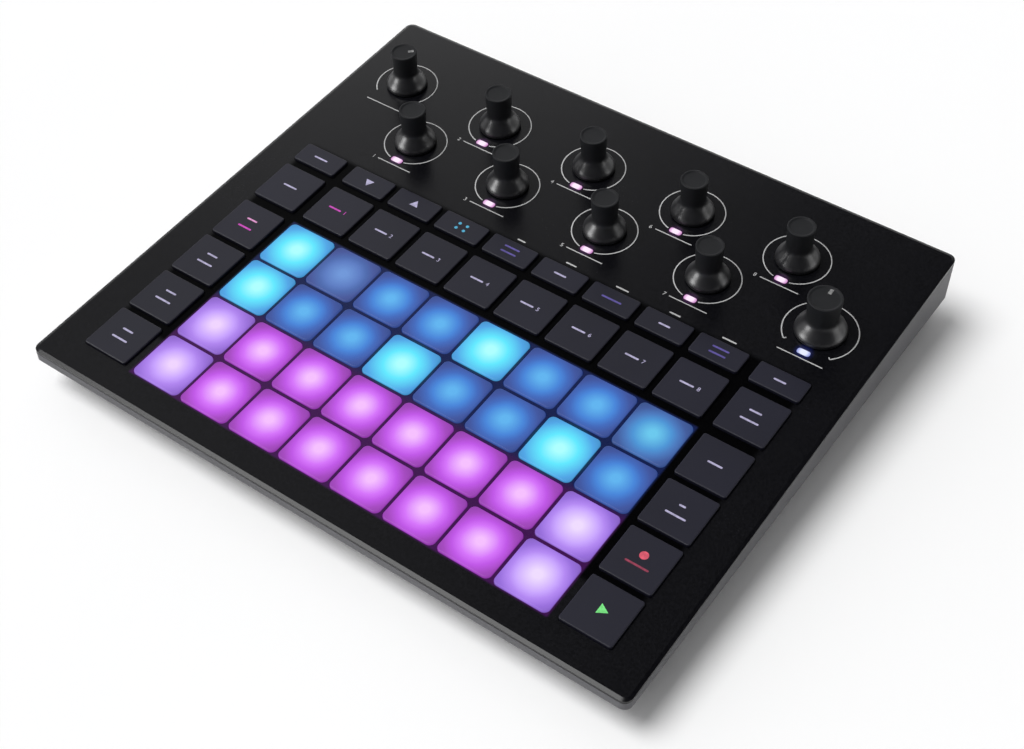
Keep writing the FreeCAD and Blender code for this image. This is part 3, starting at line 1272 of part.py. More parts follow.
def midi_sockets():
    """Round five-pin sockets: a housing with a bore for the plug's collar, and on the bore's
    floor an insert with the pin holes."""
    made = []
    z = socket_axis("Sizes.MidiHeight")
    for k in range(MIDI_SOCKETS):
        x = midi_x(k)
        blank = fuse(f"midi_blank_{k}", [
            socket_block(f"midi_block_{k}", x, "Derived.MidiWidth", "Sizes.MidiHeight",
                         "Sizes.MidiDepth"),
            nose(f"midi_nose_{k}", x, z, "Derived.MidiNose"),
        ])
        bore = bore_from_rear(f"midi_bore_{k}", x, z, "Sizes.MidiBore", "Sizes.MidiBoreDepth")
        made.append(cut(f"midi_housing_{k}", blank, [bore]))
        insert = cylinder(f"midi_core_{k}", "Sizes.MidiBore - Sizes.MidiGroove",
                          "Sizes.MidiBoreDepth",
                          to_rear(x, "Derived.RearFace - Sizes.MidiBoreDepth", z))
        pins = []
        for pin in range(MIDI_PINS):
            angle = f"(180 + {pin} * Sizes.MidiPinStep)"
            pins.append(bore_from_rear(
                f"midi_pin_{k}_{pin}", f"{x} + Sizes.MidiPinCircle * cos({angle})",
                f"{z} + Sizes.MidiPinCircle * sin({angle})", "Sizes.MidiPinRadius",
                "Sizes.MidiPinDepth"))
        made.append(cut(f"midi_insert_{k}", insert, pins))
    return group("midi_sockets", made)


def jack(name, x, size, tail=False):
    """A jack socket with a round nose and a blind bore. size is Jack or Mini."""
    z = socket_axis(f"Sizes.{size}Height")
    parts = [
        socket_block(f"{name}_block", x, f"Sizes.{size}Width", f"Sizes.{size}Height",
                     f"Sizes.{size}Depth"),
        nose(f"{name}_nose", x, z, f"Derived.{size}Nose"),
    ]
    if tail:
        parts.append(box(f"{name}_tail", "Sizes.JackTailWidth", "Sizes.JackTail",
                         "Sizes.JackTail", x=x,
                         y="Derived.WallInside - Sizes.JackDepth - Sizes.JackTail / 2",
                         z="Derived.MainTop"))
    bore = bore_from_rear(f"{name}_bore", x, z, f"Sizes.{size}Bore", f"Sizes.{size}Reach")
    return cut(name, fuse(f"{name}_blank", parts), [bore])


def audio_jacks():
    """Large jacks for the inputs and outputs, small ones for sync and headphones."""
    made = [jack(f"large_jack_{k}", jack_x(k), "Jack", tail=True) for k in range(LARGE_JACKS)]
    made += [jack("sync_jack", "Sizes.MiniSync", "Mini"),
             jack("phones_jack", "Sizes.MiniPhones", "Mini")]
    return group("audio_jacks", made)


def usb_socket():
    """A flat-sided data socket: a rounded shell with a tongue."""
    depth = "(Sizes.UsbDepth + Sizes.WallThickness)"
    place = to_rear("Sizes.UsbPlace", f"Derived.RearFace - {depth}",
                    socket_axis("Sizes.UsbHeight"))
    shell = body("usb_shell", place)
    pad(shell, "usb_block",
        rectangle(shell, "usb_outline", "Sizes.UsbWidth", "Sizes.UsbHeight",
                  f"{ROUND_END} * Sizes.UsbHeight"), depth)
    mouth = rectangle(shell, "usb_mouth_sketch", "Sizes.UsbWidth - 2 * Sizes.UsbWall",
                      "Sizes.UsbHeight - 2 * Sizes.UsbWall",
                      f"{ROUND_END} * (Sizes.UsbHeight - 2 * Sizes.UsbWall)", z=depth)
    pocket(shell, "usb_mouth", mouth, f"{depth} - Sizes.UsbBack")
    tongue = rectangle(shell, "usb_tongue_sketch", "Sizes.UsbTongueWidth", "Sizes.UsbTongue",
                       f"{ROUND_END} * Sizes.UsbTongue", z="Sizes.UsbBack / 2")
    pad(shell, "usb_tongue", tongue, f"{depth} - Sizes.UsbBack / 2 - Sizes.UsbTongueSetback")
    return shell


def card_socket():
    body_block = socket_block("card_block", "Sizes.CardPlace", "Sizes.CardWidth",
                              "Sizes.CardHeight", "Sizes.CardDepth")
    mouth = box("card_mouth", "Derived.CardMouthWidth", f"Derived.CardMouthDepth + {OVERLAP}",
                "Derived.CardMouthHeight", x="Sizes.CardPlace",
                y="Derived.WallInside - Sizes.SocketSetback"
                  f" - (Derived.CardMouthDepth - {OVERLAP}) / 2",
                z="Derived.MainTop + Sizes.CardHeight / 2 - Derived.CardMouthHeight / 2")
    return cut("card_socket", body_block, [mouth])


FLANGE_REAR = "(Derived.WallInside - Sizes.FlangeGap - Sizes.SocketSetback)"
STEM_FRONT = f"({FLANGE_REAR} - Sizes.FlangeThickness - Sizes.PowerStemLength)"


def power_switch():
    """The switch that the power button works, with a bore for the button's stem."""
    rear = (f"({FLANGE_REAR} - Sizes.FlangeThickness - Sizes.PowerTravel"
            " - Sizes.SocketSetback)")
    block = box("switch_block", "Sizes.SwitchWidth", "Sizes.SwitchDepth", "Sizes.SwitchHeight",
                x="Sizes.PowerPlace", y=f"{rear} - Sizes.SwitchDepth / 2", z="Derived.MainTop")
    bore = cylinder("switch_bore", "Sizes.PowerStem + Sizes.SocketGap", "Sizes.SwitchDepth",
                    to_rear("Sizes.PowerPlace",
                            f"{STEM_FRONT} - Sizes.PowerTravel - Sizes.SocketSetback", POWER_Z))
    return cut("power_switch", block, [bore])


def data_sockets():
    """The data socket, the card socket and the power switch."""
    return group("data_sockets", [usb_socket(), card_socket(), power_switch()])


def power_button():
    """A small cap in the rear wall, with a flange behind the wall and a stem."""
    cap = box("power_cap", "Sizes.PowerWidth", "Sizes.WallThickness + Sizes.FlangeThickness",
              "Sizes.PowerHeight", x="Sizes.PowerPlace",
              y="Derived.RearFace - Sizes.PowerInset"
                " - (Sizes.WallThickness + Sizes.FlangeThickness) / 2",
              z=f"{POWER_Z} - Sizes.PowerHeight / 2")
    flange = box("power_flange", "Sizes.PowerWidth + 2 * Sizes.PowerFlange",
                 "Sizes.FlangeThickness", "Sizes.PowerHeight + 2 * Sizes.PowerFlange",
                 x="Sizes.PowerPlace",
                 y=f"{FLANGE_REAR} - Sizes.FlangeThickness / 2",
                 z=f"{POWER_Z} - Sizes.PowerHeight / 2 - Sizes.PowerFlange")
    stem = cylinder("power_stem", "Sizes.PowerStem", f"Sizes.PowerStemLength + {OVERLAP}",
                    to_rear("Sizes.PowerPlace", STEM_FRONT, POWER_Z))
    return fuse("power_button", [cap, flange, stem])


def build():
    """Every sub-part, in the order in which the object is put together."""
    parts = [bottom_case(), rubber_feet(), battery_pack(), main_board(), midi_sockets(),
             audio_jacks(), data_sockets(), power_button(), control_board(), rotary_bodies(),
             key_mat(), led_windows()]
    parts += [playing_pad(row, column) for row in range(PAD_ROWS) for column in range(PAD_COLUMNS)]
    parts += [
        button_row("slim_button_row", "Derived.SlimRow", "Sizes.SlimSize"),
        button_row("wide_button_row", "Derived.WideRow", "Derived.ButtonDepth"),
        button_column("left_button_column", "-Derived.SideColumn"),
        button_column("right_button_column", "Derived.SideColumn"),
        top_case(),
        screws(),
    ]
    parts += [knob(*each) for each in KNOBS]
    return parts


def check(parts):
    """Stops if any object failed or any sub-part is not a sound solid."""
    doc.recompute()
    for thing in doc.Objects:
        bad = [state for state in thing.State if state in ("Invalid", "Error")]
        assert not bad, f"{thing.Label}: {bad}"
    for part in parts:
        shape = part.Shape
        assert not shape.isNull() and shape.isValid() and shape.Solids, f"{part.Label} is unsound"


def write(parts):
    os.makedirs("parts", exist_ok=True)
    for part in parts:
        part.Shape.exportStep(f"parts/{part.Label}.step")


parts = build()
check(parts)
write(parts)
print(f"{len(parts)} sub-parts written")
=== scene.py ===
import json

import bmesh
import bpy
import numpy as np
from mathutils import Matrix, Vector


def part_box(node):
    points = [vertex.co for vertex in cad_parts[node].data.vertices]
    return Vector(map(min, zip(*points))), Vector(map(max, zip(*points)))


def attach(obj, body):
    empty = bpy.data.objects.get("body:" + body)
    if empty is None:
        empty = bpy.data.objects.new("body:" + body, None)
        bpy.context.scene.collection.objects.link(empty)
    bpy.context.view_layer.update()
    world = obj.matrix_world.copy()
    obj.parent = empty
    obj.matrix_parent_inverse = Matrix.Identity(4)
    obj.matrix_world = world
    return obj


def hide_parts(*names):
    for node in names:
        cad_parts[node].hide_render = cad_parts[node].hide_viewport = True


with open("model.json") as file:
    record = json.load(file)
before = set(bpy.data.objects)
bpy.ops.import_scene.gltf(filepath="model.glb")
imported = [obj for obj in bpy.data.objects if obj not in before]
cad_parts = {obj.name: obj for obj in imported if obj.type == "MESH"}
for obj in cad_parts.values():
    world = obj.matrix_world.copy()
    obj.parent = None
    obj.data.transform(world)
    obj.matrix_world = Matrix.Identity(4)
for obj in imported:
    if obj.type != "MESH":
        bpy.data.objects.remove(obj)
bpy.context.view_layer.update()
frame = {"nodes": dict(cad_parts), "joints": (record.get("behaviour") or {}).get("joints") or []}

# Looks of a table-top groovebox: lit pads, dark buttons, knobs with glossy bells, printed rings.
# Shapes are worked out in millimetres on one of the object's faces and placed in metres.

MM = 0.001
PAD_COLUMNS = 8
PAD_ROWS = 4

# Print and marks, in millimetres and degrees
PRINT_HEIGHT = 0.03
PRINT_ROOT = 0.05
RING_RADIUS = 11.8
FILTER_RING_RADIUS = 12.9
RING_WIDTH = 0.4
RING_OPENING = 15.0
LIMITED_RING_OPENING = 42.0
RULE = 0.4
LINE = 0.72
NUMBER_HEIGHT = 1.7
REAR_NUMBER_HEIGHT = 2.4
POINTER_LENGTH = 2.2
POINTER_WIDTH = 1.0

# Places off the panel and across it, in millimetres
PAD_PROUD = 0.5
BUTTON_PROUD = 1.0
LIGHT_OFFSET = 11.5
KNOB_RULE_OFFSET = 14.3
# KEYS_MIDDLE, KEYS_HALF_DEPTH and KEYS_BORDER bound the panel's painted shade between the keys
KEYS_MIDDLE = -25.5
KEYS_HALF_DEPTH = 50.5
KEYS_BORDER = 7.0
FADE = 3.0
PAD_REACH = 14.0

# Knobs, in millimetres above the panel and from the axis
KNOB_STEPS = 96
KNOB_TOP = 16.0
KNOB_DISH = 15.65
BELL_TOP = 7.5
SKIRT_TOP = 1.0
SKIRT_BOTTOM = 0.4
SKIRT_WALL = 1.5
HOLLOW_TOP = 2.9
SHAFT_RADIUS = 3.0
SHAFT_END = -6.5

# The rear wall, in millimetres to the right and up, as seen from behind
MIDI_PLACES = [(-45.0, 17.3), (-22.5, 17.3), (0.0, 17.3)]
PIN_CIRCLE = 3.75
JACK_PLACES = [(37.0, 14.5), (54.0, 14.5), (71.0, 14.5), (88.0, 14.5)]
SYNC_PLACE = (20.5, 11.8)
HEADPHONE_PLACE = (104.5, 11.8)
USB_PLACE = (-84.0, 9.93)
CARD_ACROSS = -67.0
POWER_ACROSS = -99.0
MIDI_NUMBER_UP = 5.6
JACK_NUMBER_UP = 23.4
SYNC_RULE_UP = 18.6
DATA_RULE_UP = 14.4
SYMBOL_UP = 18.4

# The photograph's camera, in metres
CAMERA_PLACE = (0.23651, -0.32404, 0.41505)
CAMERA_TARGET = (0.022454, -0.024223, 0.022140)
CAMERA_LENS = 57.5
CAMERA_SENSOR = 36.0

# Studio light: the sun's side and strength, the sky's level, and what mirrors see of the sky
KEY_FROM = (-0.36, -0.28, 0.89)
KEY_STRENGTH = 2.3
KEY_SPREAD = 34.0
AMBIENT = 0.37
DARKER_RIGHT = 0.37
DARKER_REAR = 0.12
MIRRORED_TOP = 0.03
MIRRORED_LEFT = 0.40
MIRRORED_LOW = 0.55
MIRRORED_LOW_LEFT = 0.95
CARD_SIZE = 0.7
FLOOR_HALF = 4.0


# Faces of the object that marks are laid on

class Face:
    """A flat face: its origin, its directions to the right and up, and its normal."""

    def __init__(self, origin, right, up):
        self.origin = np.array(origin, float)
        self.right = np.array(right, float)
        self.up = np.array(up, float)
        self.normal = np.cross(self.right, self.up)

    def place(self, points):
        """Points (right, up, off the face) in millimetres, as metres in the object's frame."""
        points = np.asarray(points, float) * MM
        axes = np.stack([self.right, self.up, self.normal])
        return self.origin + points @ axes

    def read(self, place):
        """The reverse: a place in the object's frame, as millimetres on the face."""
        axes = np.stack([self.right, self.up, self.normal])
        return axes @ (np.array(place, float) - self.origin) / MM


joints = {joint["child"]: joint for joint in frame["joints"]}
press_axis = np.array(joints["pad_1_1"]["axis"])
knob_place = np.array(joints["macro_knob_1"]["pos_m"])
deck_normal = -press_axis / np.linalg.norm(press_axis)
deck_height = deck_normal @ knob_place / deck_normal[2]

DECK = Face((0, 0, deck_height), (1, 0, 0), (0, deck_normal[2], -deck_normal[1]))
REAR = Face((0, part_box("bottom_case")[1].y, 0), (-1, 0, 0), (0, 0, 1))


def middle(node):
    """The middle of a node's box, in millimetres on the deck."""
    low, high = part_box(node)
    return DECK.read((low + high) / 2)


def knob_axis(node):
    """Where a knob's axis meets the deck, in millimetres."""
    return DECK.read(joints[node]["pos_m"])[:2]


KNOBS = [node for node in joints if node.endswith("knob") or node.startswith("macro_knob")]
LIT_KNOBS = [node for node in KNOBS if node != "master_volume_knob"]
COLUMNS = [middle(f"pad_1_{column + 1}")[0] for column in range(PAD_COLUMNS)]
ROWS = [middle(f"pad_{row + 1}_1")[1] for row in range(PAD_ROWS)]
PITCH = COLUMNS[1] - COLUMNS[0]
ROW_PITCH = ROWS[0] - ROWS[1]
RIGHT = middle("right_button_column")[0]
LEFT = -RIGHT
WIDE_ROW = middle("wide_button_row")[1]
SLIM_ROW = middle("slim_button_row")[1]


# Materials

def tint(red, green, blue):
    """A colour as a screen shows it, 0 to 255, as the linear colour that a shader takes."""
    shown = np.array([red, green, blue]) / 255
    linear = np.where(shown <= 0.04045, shown / 12.92, ((shown + 0.055) / 1.055) ** 2.4)
    return (*linear, 1.0)


def scaled(colour, share):
    """A colour made lighter or darker by a share."""
    return (*(np.array(colour[:3]) * share), 1.0)


BLACK = tint(0, 0, 0)
WHITE = tint(255, 255, 255)


class Wire:
    """A socket that plain arithmetic works on. Each step adds a Math node."""

    def __init__(self, nodes, socket):
        self.nodes = nodes
        self.socket = socket

    def maths(self, operation, *values):
        return self.nodes.node(
            "ShaderNodeMath", {"operation": operation}, dict(enumerate(values))
        )

    def __add__(self, other):
        return self.maths("ADD", self, other)

    def __radd__(self, other):
        return self.maths("ADD", other, self)

    def __sub__(self, other):
        return self.maths("SUBTRACT", self, other)

    def __rsub__(self, other):
        return self.maths("SUBTRACT", other, self)

    def __mul__(self, other):
        return self.maths("MULTIPLY", self, other)

    def __rmul__(self, other):
        return self.maths("MULTIPLY", other, self)

    def __truediv__(self, other):
        return self.maths("DIVIDE", self, other)

    def rise(self, low, high):
        """0 below low, 1 above high and a smooth step between. It falls where low is above high."""
        return self.nodes.node(
            "ShaderNodeMapRange",
            {"interpolation_type": "SMOOTHSTEP"},
            {"Value": self, "From Min": low, "From Max": high},
        )

    def inside(self, centre, half, edge):
        """1 within a half width of a centre, falling to 0 over an edge."""
        centred = self - centre
        return centred.maths("ABSOLUTE", centred).rise(half + edge, half)

    def from_middle(self, first, pitch):
        """Distance from the nearest of a row of places that start at first."""
        share = self.maths("FRACT", (self - first) / pitch + 0.5)
        return (share - 0.5) * pitch


class Nodes:
    """A node tree that is built one node at a time."""

    def __init__(self, tree):
        self.tree = tree

    def node(self, kind, settings=None, sockets=None, output=0):
        """Adds a node. Its settings, ramp stops among them, come before its sockets."""
        made = self.tree.nodes.new(kind)
        for name, value in (settings or {}).items():
            if name == "stops":
                self.set_stops(made.color_ramp, value)
            else:
                setattr(made, name, value)
        for name, value in (sockets or {}).items():
            if isinstance(value, Wire):
                self.tree.links.new(value.socket, made.inputs[name])
            else:
                made.inputs[name].default_value = value
        return Wire(self, made.outputs[output])

    @staticmethod
    def set_stops(ramp, stops):
        while len(ramp.elements) < len(stops):
            ramp.elements.new(1.0)
        for element, (place, colour) in zip(ramp.elements, stops):
            element.position = place
            element.color = colour

    def split(self, vector):
        """The three numbers of a vector."""
        first = self.node("ShaderNodeSeparateXYZ", sockets={0: vector})
        return [Wire(self, output) for output in first.socket.node.outputs]

    def grey(self, level, blue=None):
        """A grey of some level, with its blue given apart where the grey isn't quite neutral."""
        blue = level if blue is None else blue
        return self.node("ShaderNodeCombineXYZ", sockets={0: level, 1: level, 2: blue})

    def blend(self, factor, first, second):
        """One colour into another by a factor."""
        return self.node(
            "ShaderNodeMix", {"data_type": "RGBA"}, {0: factor, 6: first, 7: second}, output=2
        )


class Paint(Nodes):
    """A material: its shader, its constants and the nodes that feed it."""

    def __init__(self, name, **constants):
        self.material = bpy.data.materials.new(name)
        self.material.use_nodes = True
        super().__init__(self.material.node_tree)
        self.shader = self.tree.nodes["Principled BSDF"]
        for socket, value in constants.items():
            self.shader.inputs[socket.replace("_", " ")].default_value = value

    def feed(self, socket, wire):
        self.tree.links.new(wire.socket, self.shader.inputs[socket])

    def place(self):
        """The place on the object, in metres."""
        return self.node("ShaderNodeTexCoord", output="Object")

    def axes(self):
        """That place as three numbers, in millimetres."""
        return self.split(self.node(
            "ShaderNodeVectorMath", {"operation": "SCALE"}, {0: self.place(), "Scale": 1 / MM}
        ))

    def deck(self):
        """The place in the deck's own axes: right, up the slope and off the face, in millimetres."""
        x, y, z = self.axes()
        rise = z - DECK.origin[2] / MM
        along = y * DECK.up[1] + rise * DECK.up[2]
        off = y * DECK.normal[1] + rise * DECK.normal[2]
        return x, along, off

    def off_deck(self):
        """How far a place is off the deck, in millimetres."""
        return self.deck()[2]

    def noise(self, size, detail=2.0, roughness=0.5):
        """Cloudy noise from 0 to 1 whose clouds are about size millimetres across."""
        return self.node(
            "ShaderNodeTexNoise",
            sockets={"Vector": self.place(), "Scale": 1 / (size * MM), "Detail": detail,
                     "Roughness": roughness},
        )

    def near(self, points, inner, outer):
        """1 at any of some places on the deck, falling to 0 at the outer distance, in mm."""
        place = self.place()
        total = None
        for x, y in points:
            centre = tuple(DECK.place([(x, y, 0)])[0])
            gap = self.node(
                "ShaderNodeVectorMath", {"operation": "DISTANCE"}, {0: place, 1: centre},
                output="Value",
            )
            glow = gap.rise(outer * MM, inner * MM)
            total = glow if total is None else total.maths("MAXIMUM", total, glow)
        return total

    def paint_shade_black(self, mask):
        """Painted shade: makes the surface matt black where a mask is 1."""
        black = self.node("ShaderNodeBsdfDiffuse", sockets={"Color": BLACK})
        shader = Wire(self, self.shader.outputs[0])
        mixed = self.node("ShaderNodeMixShader", sockets={0: mask, 1: shader, 2: black})
        self.tree.links.new(mixed.socket, self.tree.nodes["Material Output"].inputs["Surface"])

    def relief(self, height, depth):
        """Bumps the surface by a height from 0 to 1, at a depth in millimetres."""
        bump = self.node("ShaderNodeBump", sockets={"Height": height, "Distance": depth * MM})
        self.feed("Normal", bump)


def moulded(name, colour, roughness, grain=0.45, depth=0.02, spread=0.12, **constants):
    """Moulded plastic: faint clouding, a fine spark-eroded grain and a roughness that follows it."""
    paint = Paint(name, **constants)
    fine = paint.noise(grain, detail=3.0)
    cloud = paint.noise(40.0)
    base = paint.blend(cloud.rise(0.3, 0.7), scaled(colour, 1 - spread), scaled(colour, 1 + spread))
    paint.feed("Base Color", base)
    paint.feed("Roughness", roughness + (fine - 0.5) * 0.12 + (cloud - 0.5) * 0.06)
    paint.relief(fine, depth)
    return paint


def metal(name, colour, roughness):
    """Plated metal: bright, with fine drawn streaks and cloudy tarnish."""
    paint = Paint(name, Metallic=1.0)
    cloud = paint.noise(6.0, detail=4.0)
    fine = paint.noise(0.25)
    paint.feed("Base Color", paint.blend(cloud.rise(0.35, 0.65), scaled(colour, 0.8), colour))
    paint.feed("Roughness", roughness + (cloud - 0.5) * 0.2)
    paint.relief(fine, 0.01)
    return paint


def light_places(nodes):
    """Places of the light windows in front of some knobs."""
    return [(knob_axis(node)[0], knob_axis(node)[1] - LIGHT_OFFSET) for node in nodes]


BRIGHT_PADS = [(1, 1), (1, 5), (2, 1), (2, 4), (2, 7)]


def panel_paint():
    """The black panel, with a fine speckle. A painted shade darkens it between the keys: a matt
    black sheet mixed over the panel there. The glow of the pads on the ribs between them, and of
    the windows in front of the knobs on the panel round them, is painted light in its emission."""
    paint = Paint("panel_black", Specular_IOR_Level=0.25, Emission_Strength=1.0)
    across, along, off = paint.deck()
    cloud = paint.noise(45.0)
    speck = paint.noise(0.9, detail=3.0, roughness=0.7)
    paint.feed("Base Color", paint.blend(speck.rise(0.3, 0.75), tint(6, 6, 9), tint(15, 15, 19)))
    paint.feed("Roughness", 0.25 + (speck - 0.5) * 0.08 + (cloud - 0.5) * 0.06)
    paint.relief(speck, 0.006)

    # Painted glow: the pads' light painted into the emission of the ribs between them, magenta by
    # the front rows, blue by the rear rows, cyan by the brightest pads, stronger deeper in the gaps
    reach = PITCH / 2 - 0.6
    half_across = (COLUMNS[-1] - COLUMNS[0]) / 2 + reach
    half_along = (ROWS[0] - ROWS[-1]) / 2 + reach
    field = across.inside((COLUMNS[0] + COLUMNS[-1]) / 2, half_across, 1.1)
    field = field * along.inside((ROWS[0] + ROWS[-1]) / 2, half_along, 1.1)

    border = (ROWS[1] + ROWS[2]) / 2
    glow = paint.blend(along.rise(border - FADE, border + FADE), tint(68, 2, 86), tint(4, 26, 84))
    bright_places = [(COLUMNS[column - 1], ROWS[row - 1]) for row, column in BRIGHT_PADS]
    glow = paint.blend(paint.near(bright_places, 9.0, 12.5), glow, tint(6, 72, 106))
    deep = off.rise(0.3, -1.5)
    lit = paint.blend(field * (0.7 + 0.3 * deep), BLACK, glow)
    # Painted glow round the light windows in front of the knobs: pink at the macro knobs, blue at
    # the large knob
    macro_knobs = [node for node in LIT_KNOBS if node != "master_filter_knob"]
    macro_light = paint.near(light_places(macro_knobs), 1.6, 3.4)
    filter_light = paint.near(light_places(["master_filter_knob"]), 1.6, 4.0)
    lit = paint.blend(macro_light, lit, tint(46, 16, 54))
    paint.feed("Emission Color", paint.blend(filter_light, lit, tint(12, 20, 70)))

    # Painted shade: the panel between the keys, outside the pad field, is mixed towards matt black
    keys = across.inside(0, RIGHT + KEYS_BORDER, FADE)
    keys = keys * along.inside(KEYS_MIDDLE, KEYS_HALF_DEPTH, FADE)
    paint.paint_shade_black(keys * (1 - field) * 0.8)
    return paint


def pad_paint(name, core, between, edge, corner):
    """Translucent silicone lit from below: a pale core that deepens towards the pad's edges, a
    deeper tone still at the corners, and dimmer sides."""
    paint = Paint(name, Emission_Strength=1.0, Specular_IOR_Level=0.16)
    across, along, off = paint.deck()
    right = across.from_middle(COLUMNS[0], PITCH)
    rear = along.from_middle(ROWS[0], ROW_PITCH)
    cloud = paint.noise(5.0)
    reach = (right * right + rear * rear).maths("SQRT", right * right + rear * rear)
    reach = reach + (cloud - 0.5) * 0.8 + rear * 0.06
    stops = [(0.0, core), (0.10, core), (0.43, between), (0.59, edge), (0.78, corner),
             (1.0, scaled(corner, 0.7))]
    light = paint.node("ShaderNodeValToRGB", {"stops": stops}, {0: reach / PAD_REACH})
    top = off.rise(PAD_PROUD - 1.2, PAD_PROUD - 0.3)
    paint.feed("Emission Color", paint.blend(top, scaled(edge, 0.25), light))
    paint.feed("Base Color", paint.blend(cloud, scaled(between, 0.03), scaled(between, 0.05)))
    fine = paint.noise(0.35)
    paint.feed("Roughness", 0.42 + (fine - 0.5) * 0.12)
    paint.relief(fine, 0.008)
    return paint


PAD_PAINTS = {
    "cyan": pad_paint("pad_bright_cyan", tint(172, 252, 253), tint(94, 228, 250),
                      tint(88, 200, 240), tint(76, 158, 224)),
    "blue": pad_paint("pad_blue", tint(94, 178, 236), tint(68, 130, 213), tint(62, 102, 184),
                      tint(60, 80, 152)),
    "pale_blue": pad_paint("pad_pale_blue", tint(104, 198, 234), tint(74, 146, 210),
                           tint(72, 118, 186), tint(62, 86, 150)),
    "slate": pad_paint("pad_slate_blue", tint(108, 148, 213), tint(88, 120, 190),
                       tint(72, 101, 168), tint(66, 82, 148)),
    "magenta": pad_paint("pad_magenta", tint(242, 190, 252), tint(209, 112, 246),
                         tint(187, 82, 226), tint(158, 66, 184)),
    "lavender": pad_paint("pad_lavender", tint(236, 209, 252), tint(196, 159, 250),
                          tint(171, 128, 234), tint(148, 106, 212)),
    "pale_lavender": pad_paint("pad_pale_lavender", tint(236, 217, 252), tint(201, 167, 252),
                               tint(175, 132, 238), tint(146, 104, 214)),
}

PAD_LIGHTS = [
    ["cyan", "slate", "blue", "blue", "cyan", "blue", "blue", "pale_blue"],
    ["cyan", "blue", "blue", "cyan", "blue", "blue", "cyan", "blue"],
    ["lavender"] + ["magenta"] * 6 + ["pale_lavender"],
    ["lavender"] + ["magenta"] * 6 + ["pale_lavender"],
]


def knob_paint():
    """Knobs: a matt rubbery top and neck over a satin bell, and the steel shaft below."""
    paint = Paint("knob_black", Specular_IOR_Level=0.14, Coat_Roughness=0.3)
    off = paint.off_deck()
    fine = paint.noise(0.3)
    cloud = paint.noise(3.0)
    bell = off.rise(8.0, 4.5)
    shaft = off.rise(0.2, 0.1)
    black = paint.blend(bell, tint(29, 30, 32), tint(24, 24, 27))
    black = paint.blend(cloud.rise(0.3, 0.7) * 0.25, black, tint(38, 38, 41))
    paint.feed("Base Color", paint.blend(shaft, black, tint(165, 165, 168)))
    paint.feed("Metallic", shaft)
    paint.feed("Roughness", 0.56 - bell * 0.14 + (fine - 0.5) * 0.1 + (cloud - 0.5) * 0.06)
    paint.feed("Coat Weight", bell * (1 - shaft))
    paint.relief(fine, 0.008)
    return paint


def light_paint():
    """Light windows: pale pink acrylic lit from below, bluish at the large knob."""
    paint = Paint("light_window", Emission_Strength=1.0)
    across, _, off = paint.deck()
    filter_side = across.rise(RIGHT - 10.0, RIGHT - 5.0)
    cloud = paint.noise(1.6)
    core = paint.near(light_places(LIT_KNOBS), 0.9, 2.4)
    pink = paint.blend(core, tint(196, 120, 190), tint(244, 222, 244))
    blue = paint.blend(core, tint(120, 136, 206), tint(214, 222, 246))
    shown = paint.blend(filter_side, pink, blue)
    paint.feed("Emission Color", paint.blend(off.rise(-1.5, 0.0), tint(60, 10, 60), shown))
    paint.feed("Base Color", paint.blend(cloud, tint(90, 84, 90), tint(110, 104, 110)))
    paint.feed("Roughness", 0.3 + cloud * 0.1)
    return paint


def legend_paint(name, colour):
    """A marking lit through a key, a little uneven."""
    paint = Paint(name, Emission_Strength=1.0)
    cloud = paint.noise(1.2)
    shown = paint.blend(cloud.rise(0.3, 0.7), scaled(colour, 0.7), colour)
    paint.feed("Emission Color", shown)
    paint.feed("Base Color", paint.blend(cloud, tint(20, 20, 24), tint(30, 30, 34)))
    paint.feed("Roughness", 0.45 + (cloud - 0.5) * 0.1)
    return paint


def board_paint():
    """Circuit boards: green solder mask over copper tracks, with tinned spots."""
    paint = Paint("board_green")
    mask = paint.node(
        "ShaderNodeTexBrick", {"offset": 0.5, "squash": 0.6, "squash_frequency": 3},
        {"Vector": paint.place(), "Scale": 1 / (9.0 * MM), "Mortar Size": 0.05,
         "Color1": tint(12, 62, 40), "Color2": tint(14, 70, 44), "Mortar": tint(30, 98, 62)},
    )
    spots = paint.node(
        "ShaderNodeTexVoronoi", {"feature": "F1"},
        {"Vector": paint.place(), "Scale": 1 / (4.0 * MM), "Randomness": 0.8},
    )
    tin = spots.rise(0.16, 0.12)
    paint.feed("Base Color", paint.blend(tin, mask, tint(178, 178, 170)))
    paint.feed("Metallic", tin)
    paint.feed("Roughness", 0.35 + paint.noise(3.0) * 0.15)
    paint.relief(tin, 0.03)
    return paint


def two_finishes(name, plastic_colour, metal_colour, mask_of, roughness):
    """Black moulded parts with plated metal where mask_of gives 1."""
    paint = Paint(name)
    mask = mask_of(paint)
    cloud = paint.noise(5.0)
    fine = paint.noise(0.4)
    plastic = paint.blend(cloud, plastic_colour, scaled(plastic_colour, 1.3))
    plated = paint.blend(cloud, metal_colour, scaled(metal_colour, 0.75))
    paint.feed("Base Color", paint.blend(mask, plastic, plated))
    paint.feed("Metallic", mask)
    paint.feed("Roughness", roughness + (fine - 0.5) * 0.15)
    paint.relief(fine, 0.012)
    return paint


def bushing_metal(paint):
    """Rotary parts: metal in the bushings and nuts, which are above the bodies."""
    return paint.off_deck().rise(-3.2, -3.0)


def usb_shell(paint):
    """The data sockets: metal from one side of the flat socket's shell to the other."""
    across = paint.axes()[0]
    return across.rise(78.0, 78.5) * across.rise(90.5, 90.0)


